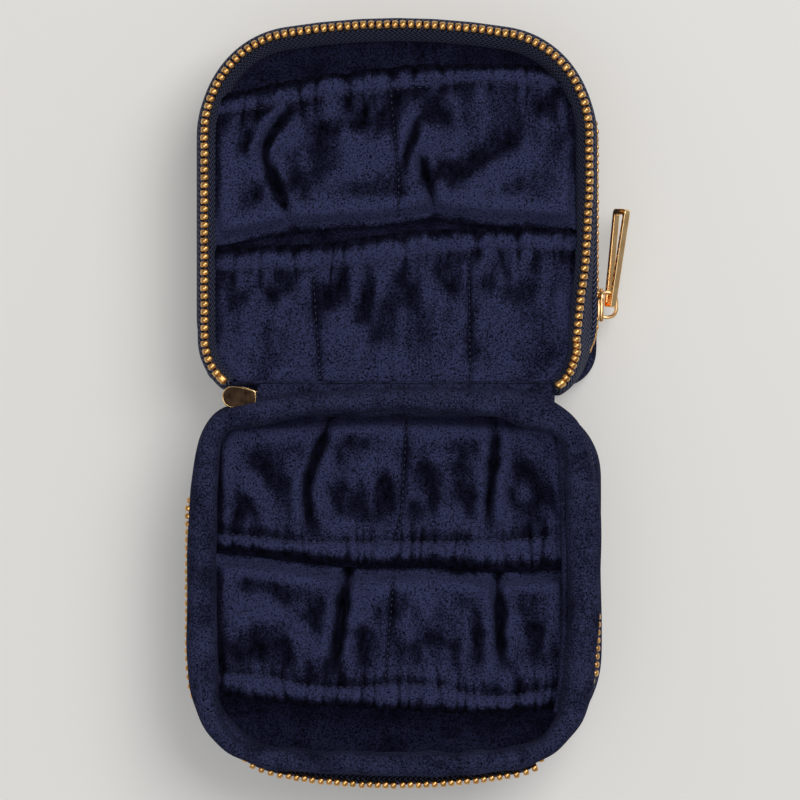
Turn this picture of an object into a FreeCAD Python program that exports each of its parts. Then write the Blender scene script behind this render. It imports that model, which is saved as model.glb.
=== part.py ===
import math
import os

import FreeCAD
import Part
import Sketcher
from FreeCAD import Placement, Rotation, Vector

# Travel jewelry case, open flat like a book. Three layers share one hinge side:
#   back_cover   the lower shell under the raised half, closed by the second zip
#   middle_tray  the pocket tray on top of the back cover
#   front_cover  the other half, which closes onto the tray with the first zip
#
# Frame: the origin is the middle of the back cover's underside, +Z is up and +Y points
# from the hinge to the far side. Each half is drawn with its hinge side along y = 0
# and its far side towards +Y, and its Placement then sets it on its side of the hinge.

# Driving dimensions in millimetres: cell alias, value, meaning.
# An "inset" is how far a curve lies inside the outline of the case.
DIMENSIONS = [
    ("case_width", 104.0, "outside width of each half"),
    ("case_length", 94.0, "hinge side to far side of each half"),
    ("half_depth", 26.0, "height of the first zip's plane above the table"),
    ("spine_gap", 6.4, "gap between the rear walls when the case lies open"),
    ("far_corner", 27.0, "corner radius of the outline on the far side"),
    ("near_corner", 17.0, "corner radius of the outline on the hinge side"),
    ("far_bow", 180.0, "radius of the slightly bowed far side"),
    ("outline_inset", 0.0, "outer face of the velvet walls"),
    ("wall_inset", 1.2, "inner face of the velvet walls"),
    ("board_inset", 1.4, "edge of the stiffening boards"),
    ("lining_inset", 2.0, "inner face of the back lining's upturned edge"),
    ("shell_floor", 1.2, "thickness of the velvet floor"),
    ("board_top", 2.6, "top of the stiffening board in either cover"),
    ("back_lining_top", 3.4, "top of the back lining's floor"),
    ("back_edge_top", 5.8, "top of the back lining's upturned edge"),
    ("back_wall_top", 5.0, "top of the back cover's velvet wall"),
    ("rear_wall_top", 22.0, "top of the rear walls along the hinge"),
    ("rear_end", 44.0, "half length of the rear walls"),
    ("rear_wall", 1.0, "thickness of the tray's rear wall"),
    ("rear_wall_foot", 1.5, "bottom of the tray's rear wall"),
    ("tape_two_outer", -0.3, "outer face of the second zip's tape"),
    ("tape_two_inner", 0.3, "inner face of the second zip's tape"),
    ("lower_tape_top", 6.8, "top of the second zip's lower tape"),
    ("zip_two_middle", 9.0, "height of the second zip's closing line"),
    ("upper_tape_foot", 11.2, "bottom of the second zip's upper tape"),
    ("divider_inset", 0.5, "edge of the divider"),
    ("divider_foot", 11.9, "underside of the divider"),
    ("divider_board_foot", 12.4, "underside of the divider's board"),
    ("divider_board_top", 13.6, "top of the divider's board"),
    ("tray_floor", 14.2, "floor of the tray"),
    ("tray_edge_outer", 2.8, "outer face of the tray lining's upturned edge"),
    ("tray_edge_inner", 3.3, "inner face of the tray lining's upturned edge"),
    ("tray_edge_top", 19.0, "top of the tray lining's upturned edge"),
    ("tape_one_outer", 2.0, "outer face of the first zip's tape"),
    ("tape_one_inner", 2.6, "inner face of the first zip's tape"),
    ("tape_one_top", 24.0, "top of the first zip's tapes"),
    ("tape_end", 44.0, "half width of the tapes' gap on the hinge side"),
    ("tape_gap_depth", 12.0, "reach of that gap from the hinge side"),
    ("zip_one_gap", 0.1, "height of the zip's closing line above either row"),
    ("foam_top", 8.2, "top of the front cover's foam pad"),
    ("front_floor", 9.0, "floor of the front cover"),
    ("front_wall_top", 19.0, "top of the front cover's velvet wall"),
    ("rim_outer", 3.7, "outer face of the padded rim"),
    ("rim_inner", 8.0, "inner face of the padded rim"),
    ("rim_near_inner", 6.4, "inner face of the rim on the hinge side"),
    ("rim_top", 30.0, "top of the padded rim"),
    ("core_outer", 4.6, "outer face of the rim's foam core"),
    ("core_inner", 7.1, "inner face of the rim's foam core"),
    ("core_near_inner", 5.6, "inner face of the core on the hinge side"),
    ("core_top", 28.8, "top of the rim's foam core"),
    ("pocket_height", 6.4, "height of a pocket tier above its floor"),
    ("pocket_cover", 1.0, "thickness of the gathered cloth over a pocket"),
    ("pocket_back", 0.5, "thickness of the cloth under a pocket"),
    ("pocket_seam", 2.4, "width of the seams beside the pockets"),
    ("elastic_width", 4.0, "width of the elastic in a pocket's hem"),
    ("elastic_thick", 0.4, "thickness of the elastic"),
    ("elastic_setback", 0.6, "distance from a pocket's mouth to its elastic"),
    ("elastic_side", 1.0, "distance from a tier's straight side to the end of its elastic"),
    ("tray_pocket_half", 46.0, "half width of the tray's pocket tiers"),
    ("tray_near_start", 3.6, "hinge end of the tray's near tier"),
    ("tray_near_mouth", 37.5, "mouth of the tray's near tier"),
    ("tray_near_depth", 24.5, "depth of the tray's near pockets"),
    ("tray_near_round", 14.0, "corner radius of the tray's near tier"),
    ("tray_far_start", 41.5, "hinge end of the tray's far tier"),
    ("tray_far_mouth", 80.5, "mouth of the tray's far tier"),
    ("tray_far_depth", 36.5, "depth of the tray's far pockets"),
    ("tray_far_round", 10.0, "corner radius of the tray's far tier"),
    ("cover_pocket_half", 43.6, "half width of the front cover's pocket tiers"),
    ("cover_near_start", 6.7, "hinge end of the cover's near tier"),
    ("cover_near_mouth", 38.8, "mouth of the cover's near tier"),
    ("cover_near_depth", 26.0, "depth of the cover's near pockets"),
    ("cover_near_round", 10.0, "corner radius of the cover's near tier"),
    ("cover_far_start", 43.0, "hinge end of the cover's far tier"),
    ("cover_far_mouth", 77.5, "mouth of the cover's far tier"),
    ("cover_far_depth", 32.5, "depth of the cover's far pockets"),
    ("cover_far_round", 12.0, "corner radius of the cover's far tier"),
    ("tooth_pitch", 2.05, "spacing of the zip teeth"),
    ("tooth_width", 1.3, "tooth size along the tape"),
    ("tooth_thick", 2.0, "tooth size across the tape"),
    ("row_end", 44.5, "half width between the ends of a row of teeth"),
    ("stop_width", 2.4, "size along the tape of a zip's end stop"),
    ("slider_length", 8.3, "zip slider, along the tape"),
    ("slider_width", 5.6, "zip slider, across the chain"),
    ("slider_channel", 2.4, "gap between a slider's plates"),
    ("slider_plate", 1.0, "thickness of a slider's plates"),
    ("slider_web", 0.3, "thickness of the web between the plates"),
    ("web_clearance", 0.15, "clearance of the tooth rows from a slider's web"),
    ("bail_length", 7.6, "wire bail, along the tape"),
    ("bail_reach", 3.9, "wire bail, out from the slider"),
    ("bail_wire", 1.0, "thickness of the bail"),
    ("pull_length", 26.0, "zip pull"),
    ("pull_width", 5.2, "zip pull"),
    ("pull_thick", 1.4, "zip pull"),
    ("pull_bar", 1.3, "width of the bars of the open pull"),
    ("pull_pivot", 1.75, "pivot of the pull, out from the slider"),
    ("strip_end", 34.0, "left end of the hinge strip, which leaves room for the slider"),
    ("strip_thick", 1.6, "thickness of the padded hinge strip"),
    ("strip_reach", 5.8, "reach of the hinge strip from the tray's rear wall"),
    ("back_strip_foot", 0.2, "underside of the back cover's hinge strip"),
    ("back_strip_thick", 1.2, "thickness of the back cover's hinge strip"),
    ("back_strip_reach", 2.8, "reach of that strip behind the back cover"),
]

SLIDER_TWO_Y = -26.0      # middle of the second zip's slider, on the right-hand wall
SLIDER_ONE_X = -40.8      # middle of the first zip's slider, on the hinge line
PULL_TWO_TILT = 10.0      # degrees that the upper pull leans away from the wall
PULL_TWO_ROLL = 20.0      # degrees that it is rolled about its own length
PULL_ONE_TILT = 40.0      # degrees from straight down of the pull in the spine gap
ROW_MARGIN = 3            # half pitches between the end of a row's path and its teeth
STOP_MARGIN = 1           # half pitches between the end of that path and the stop
CLOSE = 0.01              # millimetres within which two places are the same
SMALL_CUT = 0.01          # cubic millimetres that every cut must take away at least

size = {alias: value for alias, value, meaning in DIMENSIONS}
doc = FreeCAD.newDocument("travel_jewelry_case")
parts = []


def make_sheet():
    """The driving dimensions, one to a row: alias, value and meaning."""
    sheet = doc.addObject("Spreadsheet::Sheet", "sizes")
    for row, (alias, value, meaning) in enumerate(DIMENSIONS, start=1):
        sheet.set(f"A{row}", alias)
        sheet.set(f"B{row}", str(value))
        sheet.set(f"C{row}", meaning)
        sheet.setAlias(f"B{row}", alias)
    doc.recompute()


def raised_half():
    """Where the back cover and the tray lie."""
    return Placement(Vector(0, -size["case_length"] / 2, 0), Rotation())


def front_half():
    """Where the front cover lies: turned round, beyond the spine gap."""
    hinge_side = -size["case_length"] / 2 - size["spine_gap"]
    return Placement(Vector(0, hinge_side, 0), Rotation(Vector(0, 0, 1), 180))


def keep(part, label):
    """Name a finished sub-part and list it for writing."""
    part.Label = label
    parts.append(part)
    return part


# ---------------------------------------------------------------- sketches and bodies

def new_body(label, placement):
    body = doc.addObject("PartDesign::Body", label)
    body.Placement = placement
    return keep(body, label)


def new_sketch(body, role, offset):
    """A sketch on one of the body's own origin planes, offset by an expression."""
    sketch = body.newObject("Sketcher::SketchObject", body.Name + "_sketch")
    plane = [item for item in body.Origin.OriginFeatures if item.Role == role][0]
    sketch.AttachmentSupport = [(plane, "")]
    sketch.MapMode = "FlatFace"
    sketch.setExpression("AttachmentOffset.Base.z", offset)
    return sketch


def constrain(sketch, constraint, expression=None):
    index = sketch.addConstraint(constraint)
    if expression is not None:
        sketch.setExpression(f"Constraints[{index}]", expression)


def add_outline(sketch, inset, near=None):
    """The outline of the case at an inset: tangent lines and arcs, far side bowed."""
    near = near or inset
    inward = size[inset]
    half = size["case_width"] / 2 - inward
    near_radius = size["near_corner"] - inward
    far_radius = size["far_corner"] - inward
    bow_radius = size["far_bow"] - inward
    bow_y = size["case_length"] - size["far_bow"]
    corner_x = half - far_radius
    corner_y = bow_y + math.sqrt((bow_radius - far_radius) ** 2 - corner_x ** 2)
    turn = math.atan2(corner_y - bow_y, corner_x)
    near_y = size[near]
    near_x = half - near_radius
    near_centre_y = near_y + near_radius

    def arc(x, y, radius, start, end):
        circle = Part.Circle(Vector(x, y, 0), Vector(0, 0, 1), radius)
        return Part.ArcOfCircle(circle, start, end)

    def line(x1, y1, x2, y2):
        return Part.LineSegment(Vector(x1, y1, 0), Vector(x2, y2, 0))

    pieces = [
        line(half, near_centre_y, half, corner_y),
        arc(corner_x, corner_y, far_radius, 0, turn),
        arc(0, bow_y, bow_radius, turn, math.pi - turn),
        arc(-corner_x, corner_y, far_radius, math.pi - turn, math.pi),
        line(-half, corner_y, -half, near_centre_y),
        arc(-near_x, near_centre_y, near_radius, math.pi, 1.5 * math.pi),
        line(-near_x, near_y, near_x, near_y),
        arc(near_x, near_centre_y, near_radius, 1.5 * math.pi, 2 * math.pi),
    ]
    first = sketch.addGeometry(pieces, False)[0]
    right, far_right, bow, far_left, left, near_left, front, near_right = range(first, first + 8)
    chain = [right, far_right, bow, far_left, left, near_left, front, near_right, right]
    for one, other in zip(chain, chain[1:]):
        constrain(sketch, Sketcher.Constraint("Tangent", one, 2, other, 1))
    constrain(sketch, Sketcher.Constraint("Vertical", right))
    constrain(sketch, Sketcher.Constraint("Vertical", left))
    constrain(sketch, Sketcher.Constraint("Horizontal", front))
    constrain(sketch, Sketcher.Constraint("PointOnObject", bow, 3, -2))
    half_width = f"sizes.case_width / 2 - sizes.{inset}"
    constrain(sketch, Sketcher.Constraint("DistanceX", -1, 1, right, 1, half), half_width)
    constrain(sketch, Sketcher.Constraint("DistanceX", left, 1, -1, 1, half), half_width)
    if near_y == 0:
        constrain(sketch, Sketcher.Constraint("PointOnObject", front, 1, -1))
    elif near_y > 0:
        constrain(sketch, Sketcher.Constraint("DistanceY", -1, 1, front, 1, near_y), f"sizes.{near}")
    else:
        constrain(sketch, Sketcher.Constraint("DistanceY", front, 1, -1, 1, -near_y), f"-sizes.{near}")
    constrain(
        sketch,
        Sketcher.Constraint("DistanceY", bow, 3, -1, 1, -bow_y),
        "sizes.far_bow - sizes.case_length",
    )
    for corner in (near_left, near_right):
        constrain(
            sketch,
            Sketcher.Constraint("Radius", corner, near_radius),
            f"sizes.near_corner - sizes.{inset}",
        )
    for corner in (far_left, far_right):
        constrain(
            sketch,
            Sketcher.Constraint("Radius", corner, far_radius),
            f"sizes.far_corner - sizes.{inset}",
        )
    constrain(sketch, Sketcher.Constraint("Radius", bow, bow_radius), f"sizes.far_bow - sizes.{inset}")


def add_rectangle(sketch, low, high):
    """A rectangle between two corners, each given as a pair of (value, expression)."""
    (x1, x1_text), (y1, y1_text) = low
    (x2, x2_text), (y2, y2_text) = high
    corners = [Vector(x1, y1, 0), Vector(x2, y1, 0), Vector(x2, y2, 0), Vector(x1, y2, 0)]
    sides = [Part.LineSegment(corners[i], corners[(i + 1) % 4]) for i in range(4)]
    first = sketch.addGeometry(sides, False)[0]
    for i in range(4):
        constrain(sketch, Sketcher.Constraint("Coincident", first + i, 2, first + (i + 1) % 4, 1))
    for i, direction in enumerate(("Horizontal", "Vertical", "Horizontal", "Vertical")):
        constrain(sketch, Sketcher.Constraint(direction, first + i))
    for point, axis, value, text in (
        (first, "DistanceX", x1, x1_text),
        (first, "DistanceY", y1, y1_text),
        (first + 2, "DistanceX", x2, x2_text),
        (first + 2, "DistanceY", y2, y2_text),
    ):
        constrain(sketch, Sketcher.Constraint(axis, -1, 1, point, 1, value), text)


def cell(alias):
    """A sheet cell as a (value, expression) pair."""
    return size[alias], f"sizes.{alias}"


def minus(alias):
    """The same for a cell's negative."""
    return -size[alias], f"-sizes.{alias}"


def pad(body, sketch, length):
    feature = body.newObject("PartDesign::Pad", body.Name + "_pad")
    feature.Profile = sketch
    feature.setExpression("Length", length)
    sketch.Visibility = False
    return feature


def pocket(body, sketch, length, towards_normal):
    """Cut a sketch out of the body, and check that it did cut."""
    doc.recompute()
    before = body.Tip.Shape.Volume
    feature = body.newObject("PartDesign::Pocket", body.Name + "_pocket")
    feature.Profile = sketch
    feature.Reversed = towards_normal
    feature.setExpression("Length", length)
    doc.recompute()
    if not feature.Shape.Volume < before - SMALL_CUT:
        raise ValueError(f"{feature.Name} cuts nothing")
    return feature


def slab(label, placement, inset, foot, top, near=None):
    """A flat layer with the outline of the case."""
    body = new_body(label, placement)
    sketch = new_sketch(body, "XY_Plane", foot)
    add_outline(sketch, inset, near)
    pad(body, sketch, f"{top} - {foot}")
    return body


def ring(body, outer, inner, foot, top, inner_near=None):
    """A wall between two insets, added to a body."""
    sketch = new_sketch(body, "XY_Plane", foot)
    add_outline(sketch, outer)
    add_outline(sketch, inner, inner_near)
    return pad(body, sketch, f"{top} - {foot}")


def open_rear(body, half, foot, top):
    """Cut a wall away along the hinge side."""
    sketch = new_sketch(body, "XY_Plane", foot)
    low = (minus(half), minus("tape_gap_depth"))
    high = (cell(half), cell("tape_gap_depth"))
    add_rectangle(sketch, low, high)
    pocket(body, sketch, f"{top} - {foot}", towards_normal=True)


def box(name, corner, sides):
    """A Part box from expressions for its lowest corner and its sides."""
    shape = doc.addObject("Part::Box", name)
    for prop, text in zip(("Length", "Width", "Height"), sides):
        shape.setExpression(prop, text)
    for axis, text in zip("xyz", corner):
        shape.setExpression(f"Placement.Base.{axis}", text)
    return shape


# ---------------------------------------------------------------- the back cover

def back_cover():
    place = raised_half()
    shell = slab("back_shell", place, "outline_inset", "0", "sizes.shell_floor")
    ring(shell, "outline_inset", "wall_inset", "sizes.shell_floor", "sizes.back_wall_top")
    open_rear(shell, "rear_end", "sizes.shell_floor", "sizes.back_wall_top")
    slab("back_board", place, "board_inset", "sizes.shell_floor", "sizes.board_top")
    lining = slab("back_lining", place, "board_inset", "sizes.board_top", "sizes.back_lining_top")
    ring(lining, "board_inset", "lining_inset", "sizes.back_lining_top", "sizes.back_edge_top")
    tape = new_body("zip2_lower_tape", place)
    ring(tape, "tape_two_outer", "tape_two_inner", "sizes.back_wall_top", "sizes.lower_tape_top")
    open_rear(tape, "tape_end", "sizes.back_wall_top", "sizes.lower_tape_top")


# ---------------------------------------------------------------- the middle tray

def middle_tray():
    place = raised_half()
    slab(
        "divider_lining", place, "divider_inset",
        "sizes.divider_foot", "sizes.divider_board_foot", near="rear_wall",
    )
    slab(
        "divider_board", place, "divider_inset",
        "sizes.divider_board_foot", "sizes.divider_board_top", near="rear_wall",
    )
    lining = slab(
        "tray_lining", place, "divider_inset",
        "sizes.divider_board_top", "sizes.tray_floor", near="rear_wall",
    )
    ring(lining, "tray_edge_outer", "tray_edge_inner", "sizes.tray_floor", "sizes.tray_edge_top")
    tape_two = new_body("zip2_upper_tape", place)
    ring(tape_two, "tape_two_outer", "tape_two_inner", "sizes.upper_tape_foot", "sizes.tray_floor")
    open_rear(tape_two, "tape_end", "sizes.upper_tape_foot", "sizes.tray_floor")
    tape_one = new_body("zip1_upper_tape", place)
    ring(tape_one, "tape_one_outer", "tape_one_inner", "sizes.tray_floor", "sizes.tape_one_top")
    open_rear(tape_one, "tape_end", "sizes.tray_floor", "sizes.tape_one_top")
    wall = new_body("spine_wall", place)
    sketch = new_sketch(wall, "XY_Plane", "sizes.rear_wall_foot")
    add_rectangle(sketch, (minus("rear_end"), (0, "0")), (cell("rear_end"), cell("rear_wall")))
    pad(wall, sketch, "sizes.rear_wall_top - sizes.rear_wall_foot")


# ---------------------------------------------------------------- the front cover

def front_cover():
    place = front_half()
    shell = slab("front_shell", place, "outline_inset", "0", "sizes.shell_floor")
    ring(shell, "outline_inset", "wall_inset", "sizes.shell_floor", "sizes.front_wall_top")
    slab("front_board", place, "board_inset", "sizes.shell_floor", "sizes.board_top")
    slab("front_foam", place, "board_inset", "sizes.board_top", "sizes.foam_top")
    slab("front_lining", place, "board_inset", "sizes.foam_top", "sizes.front_floor")
    tape = new_body("zip1_lower_tape", place)
    ring(tape, "tape_one_outer", "tape_one_inner", "sizes.front_floor", "sizes.tape_one_top")
    open_rear(tape, "tape_end", "sizes.front_floor", "sizes.tape_one_top")
    rim = new_body("rim_roll", place)
    ring(
        rim, "rim_outer", "rim_inner", "sizes.front_floor", "sizes.rim_top",
        inner_near="rim_near_inner",
    )
    hollow = new_sketch(rim, "XY_Plane", "sizes.front_floor")
    add_outline(hollow, "core_outer")
    add_outline(hollow, "core_inner", "core_near_inner")
    pocket(rim, hollow, "sizes.core_top - sizes.front_floor", towards_normal=True)
    core = new_body("rim_core", place)
    ring(
        core, "core_outer", "core_inner", "sizes.front_floor", "sizes.core_top",
        inner_near="core_near_inner",
    )


# ---------------------------------------------------------------- pockets

def pocket_tier(label, place, floor, half, start, mouth, depth, rounding, round_start, seams):
    """A gathered tier: pockets side by side, open towards the far side, elastic in the hem.

    Its two corners on the hinge side are rounded if round_start is true, else the two at
    its mouth. seams are the places of the sewn seams between its pockets, as shares of
    its width.
    """
    body = new_body(label, place)
    sketch = new_sketch(body, "XY_Plane", f"sizes.{floor}")
    add_rectangle(sketch, (minus(half), cell(start)), (cell(half), cell(mouth)))
    block = pad(body, sketch, "sizes.pocket_height")
    doc.recompute()

    rounded_y = size[start] if round_start else size[mouth]
    corners = []
    for number, edge in enumerate(block.Shape.Edges, start=1):
        ends = [vertex.Point for vertex in edge.Vertexes]
        upright = abs(ends[0].x - ends[1].x) < CLOSE and abs(ends[0].y - ends[1].y) < CLOSE
        if upright and abs(ends[0].y - rounded_y) < CLOSE:
            corners.append(f"Edge{number}")
    fillet = body.newObject("PartDesign::Fillet", label + "_corners")
    fillet.Base = (block, corners)
    fillet.setExpression("Radius", f"sizes.{rounding}")

    # A sketch on the XZ plane has its normal along -Y, from the mouth to the hinge side.
    bottom = size[floor] + size["pocket_back"]
    top = size[floor] + size["pocket_height"] - size["pocket_cover"]
    bottom_text = f"sizes.{floor} + sizes.pocket_back"
    top_text = f"sizes.{floor} + sizes.pocket_height - sizes.pocket_cover"
    openings = new_sketch(body, "XZ_Plane", f"-sizes.{mouth}")
    bounds = [0.0] + list(seams) + [1.0]
    for left, right in zip(bounds, bounds[1:]):
        left_x = (2 * left - 1) * size[half] + size["pocket_seam"] / 2
        right_x = (2 * right - 1) * size[half] - size["pocket_seam"] / 2
        left_text = f"{2 * left - 1} * sizes.{half} + sizes.pocket_seam / 2"
        right_text = f"{2 * right - 1} * sizes.{half} - sizes.pocket_seam / 2"
        add_rectangle(
            openings,
            ((left_x, left_text), (bottom, bottom_text)),
            ((right_x, right_text), (top, top_text)),
        )
    pocket(body, openings, f"sizes.{depth}", towards_normal=True)

    # The elastic lies in a tunnel in the hem, halfway through the cloth.
    tunnel_low = top + (size["pocket_cover"] - size["elastic_thick"]) / 2
    tunnel_text = f"{top_text} + (sizes.pocket_cover - sizes.elastic_thick) / 2"
    far_y = size[mouth] - size["elastic_setback"]
    far_text = f"sizes.{mouth} - sizes.elastic_setback"
    near_y = far_y - size["elastic_width"]
    near_text = f"{far_text} - sizes.elastic_width"
    span = size[half] - size["elastic_side"]
    span_text = f"sizes.{half} - sizes.elastic_side"
    if not round_start:
        span = span - size[rounding]
        span_text = f"{span_text} - sizes.{rounding}"
    tunnel = new_sketch(body, "XY_Plane", tunnel_text)
    corner_low = ((-span, f"-({span_text})"), (near_y, near_text))
    corner_high = ((span, span_text), (far_y, far_text))
    add_rectangle(tunnel, corner_low, corner_high)
    pocket(body, tunnel, "sizes.elastic_thick", towards_normal=True)

    elastic = new_body(label.replace("pocket", "elastic"), place)
    band = new_sketch(elastic, "XY_Plane", tunnel_text)
    add_rectangle(band, corner_low, corner_high)
    pad(elastic, band, "sizes.elastic_thick")
    if tunnel_low <= top:
        raise ValueError("the elastic does not fit in its hem")


def all_pockets():
    pocket_tier(
        "tray_near_pocket", raised_half(), "tray_floor", "tray_pocket_half",
        "tray_near_start", "tray_near_mouth", "tray_near_depth", "tray_near_round",
        round_start=True, seams=(0.28, 0.69),
    )
    pocket_tier(
        "tray_far_pocket", raised_half(), "tray_floor", "tray_pocket_half",
        "tray_far_start", "tray_far_mouth", "tray_far_depth", "tray_far_round",
        round_start=False, seams=(0.5,),
    )
    pocket_tier(
        "cover_near_pocket", front_half(), "front_floor", "cover_pocket_half",
        "cover_near_start", "cover_near_mouth", "cover_near_depth", "cover_near_round",
        round_start=True, seams=(0.5,),
    )
    pocket_tier(
        "cover_far_pocket", front_half(), "front_floor", "cover_pocket_half",
        "cover_far_start", "cover_far_mouth", "cover_far_depth", "cover_far_round",
        round_start=False, seams=(0.5,),
    )


# ---------------------------------------------------------------- zip teeth

def row_path(inset):
    """The line that a row of teeth follows, from the left near corner round to the right."""
    half = size["case_width"] / 2 - inset
    near_radius = size["near_corner"] - inset
    far_radius = size["far_corner"] - inset
    bow_radius = size["far_bow"] - inset
    bow_y = size["case_length"] - size["far_bow"]
    corner_x = half - far_radius
    corner_y = bow_y + math.sqrt((bow_radius - far_radius) ** 2 - corner_x ** 2)
    turn = math.atan2(corner_y - bow_y, corner_x)
    near_x = half - near_radius
    near_y = inset + near_radius
    end = math.acos((size["row_end"] - near_x) / near_radius)

    def arc(x, y, radius, start, stop):
        at = [
            Vector(x + radius * math.cos(a), y + radius * math.sin(a), 0)
            for a in (start, (start + stop) / 2, stop)
        ]
        return Part.Arc(*at).toShape()

    edges = [
        arc(-near_x, near_y, near_radius, math.pi + end, math.pi),
        Part.makeLine(Vector(-half, near_y, 0), Vector(-half, corner_y, 0)),
        arc(-corner_x, corner_y, far_radius, math.pi, math.pi - turn),
        arc(0, bow_y, bow_radius, math.pi - turn, turn),
        arc(corner_x, corner_y, far_radius, turn, 0),
        Part.makeLine(Vector(half, corner_y, 0), Vector(half, near_y, 0)),
        arc(near_x, near_y, near_radius, 0, -end),
    ]
    return Part.Wire(edges)


def block_at(point, before, after, width, foot, top):
    """A tooth or stop astride the tape, turned along it."""
    thick = size["tooth_thick"]
    block = Part.makeBox(width, thick, top - foot, Vector(-width / 2, -thick / 2, 0))
    angle = math.degrees(math.atan2(after.y - before.y, after.x - before.x))
    block.Placement = Placement(Vector(point.x, point.y, foot), Rotation(Vector(0, 0, 1), angle))
    return block


def tooth_row(name, place, inset, foot, top, half_step):
    """One row of teeth, and the stop at each end of it.

    half_step moves the teeth by half a pitch, so that they fit between the other row's.
    """
    path = row_path(inset)
    steps = 2 * round(path.Length / size["tooth_pitch"])
    points = path.discretize(Number=steps + 1)
    first = ROW_MARGIN + 1 if half_step else ROW_MARGIN
    teeth = [
        block_at(points[i], points[i - 1], points[i + 1], size["tooth_width"], foot, top)
        for i in range(first, steps - ROW_MARGIN + 1, 2)
    ]
    stops = [
        block_at(points[i], points[i - 1], points[i + 1], size["stop_width"], foot, top)
        for i in (STOP_MARGIN, steps - STOP_MARGIN)
    ]
    for label, blocks in ((name + "_teeth", teeth), (name + "_stops", stops)):
        feature = doc.addObject("Part::Feature", label)
        feature.Shape = Part.Compound(blocks)
        feature.Placement = place
        keep(feature, label)


def all_teeth():
    tape_two = (size["tape_two_outer"] + size["tape_two_inner"]) / 2
    tape_one = (size["tape_one_outer"] + size["tape_one_inner"]) / 2
    gap = size["slider_web"] / 2 + size["web_clearance"]
    lower_top = size["zip_two_middle"] - gap
    upper_foot = size["zip_two_middle"] + gap
    tooth_row(
        "zip2_lower", raised_half(), tape_two, size["lower_tape_top"], lower_top, half_step=False
    )
    tooth_row(
        "zip2_upper", raised_half(), tape_two, upper_foot, size["upper_tape_foot"], half_step=True
    )
    row_top = size["half_depth"] - size["zip_one_gap"]
    tooth_row(
        "zip1_upper", raised_half(), tape_one, size["tape_one_top"], row_top, half_step=False
    )
    tooth_row(
        "zip1_lower", front_half(), tape_one, size["tape_one_top"], row_top, half_step=True
    )


# ---------------------------------------------------------------- sliders, bails and pulls

def slider(prefix, place):
    """A zip slider: two plates and a web. It runs along its own Y, and +X is its outside."""
    length = "sizes.slider_length"
    half_channel = "sizes.slider_channel / 2"
    width = "sizes.slider_width"
    start = "-sizes.slider_length / 2"
    outer = box(
        prefix + "_outer_plate", (half_channel, start, "-sizes.slider_width / 2"),
        ("sizes.slider_plate", length, width),
    )
    inner = box(
        prefix + "_inner_plate",
        ("-sizes.slider_channel / 2 - sizes.slider_plate", start, "-sizes.slider_width / 2"),
        ("sizes.slider_plate", length, width),
    )
    web = box(
        prefix + "_web", ("-sizes.slider_channel / 2", start, "-sizes.slider_web / 2"),
        ("sizes.slider_channel", length, "sizes.slider_web"),
    )
    fuse = doc.addObject("Part::MultiFuse", prefix + "_slider")
    fuse.Shapes = [outer, inner, web]
    fuse.Placement = place
    keep(fuse, prefix + "_slider")


def bail(prefix, place):
    """The wire loop on a slider's outside, which holds the pull."""
    face = "sizes.slider_channel / 2 + sizes.slider_plate"
    block = box(
        prefix + "_bail_block",
        (face, "-sizes.bail_length / 2", "-sizes.bail_wire / 2"),
        ("sizes.bail_reach", "sizes.bail_length", "sizes.bail_wire"),
    )
    eye = box(
        prefix + "_bail_eye",
        (face, "-sizes.bail_length / 2 + sizes.bail_wire", "-sizes.bail_wire"),
        (
            "sizes.bail_reach - sizes.bail_wire",
            "sizes.bail_length - 2 * sizes.bail_wire",
            "2 * sizes.bail_wire",
        ),
    )
    cut = doc.addObject("Part::Cut", prefix + "_bail")
    cut.Base = block
    cut.Tool = eye
    cut.Placement = place
    keep(cut, prefix + "_bail")


def pull(prefix, place):
    """An open rectangular pull. Its pivot bar is at its own origin, and +Y is its length."""
    frame = box(
        prefix + "_pull_frame",
        ("-sizes.pull_thick / 2", "-sizes.pull_bar / 2", "-sizes.pull_width / 2"),
        ("sizes.pull_thick", "sizes.pull_length", "sizes.pull_width"),
    )
    window = box(
        prefix + "_pull_window",
        ("-sizes.pull_thick", "sizes.pull_bar / 2", "-sizes.pull_width / 2 + sizes.pull_bar"),
        (
            "2 * sizes.pull_thick",
            "sizes.pull_length - 2 * sizes.pull_bar",
            "sizes.pull_width - 2 * sizes.pull_bar",
        ),
    )
    cut = doc.addObject("Part::Cut", prefix + "_pull")
    cut.Base = frame
    cut.Tool = window
    cut.Placement = place
    keep(cut, prefix + "_pull")


def all_sliders():
    # The second zip's slider rests on the right-hand wall, with its outside towards +X.
    tape_two = (size["tape_two_outer"] + size["tape_two_inner"]) / 2
    wall = Placement(
        Vector(size["case_width"] / 2 - tape_two, SLIDER_TWO_Y, size["zip_two_middle"]), Rotation()
    )
    slider("zip2", wall)
    bail("zip2", wall)
    out = size["slider_channel"] / 2 + size["slider_plate"] + size["pull_pivot"]
    pivot = Placement(Vector(out, 0, 0), Rotation())
    lean = Placement(Vector(), Rotation(Vector(0, 0, 1), -PULL_TWO_TILT))
    roll = Placement(Vector(), Rotation(Vector(0, 1, 0), PULL_TWO_ROLL))
    pull("zip2", wall * pivot * lean * roll)

    # The first zip's slider lies on the hinge line with its outside down, and its pull
    # hangs in the spine gap, leaning to the right.
    hinge_y = -size["case_length"] / 2 - size["spine_gap"] / 2
    turned = Rotation(Vector(0, 0, -1), Vector(1, 0, 0), Vector(0, -1, 0), "XYZ")
    spine = Placement(Vector(SLIDER_ONE_X, hinge_y, size["half_depth"]), turned)
    slider("zip1", spine)
    bail("zip1", spine)
    hang = Placement(Vector(), Rotation(Vector(0, 0, 1), -(90 - PULL_ONE_TILT)))
    pull("zip1", spine * pivot * hang)


# ---------------------------------------------------------------- hinge strips

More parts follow.
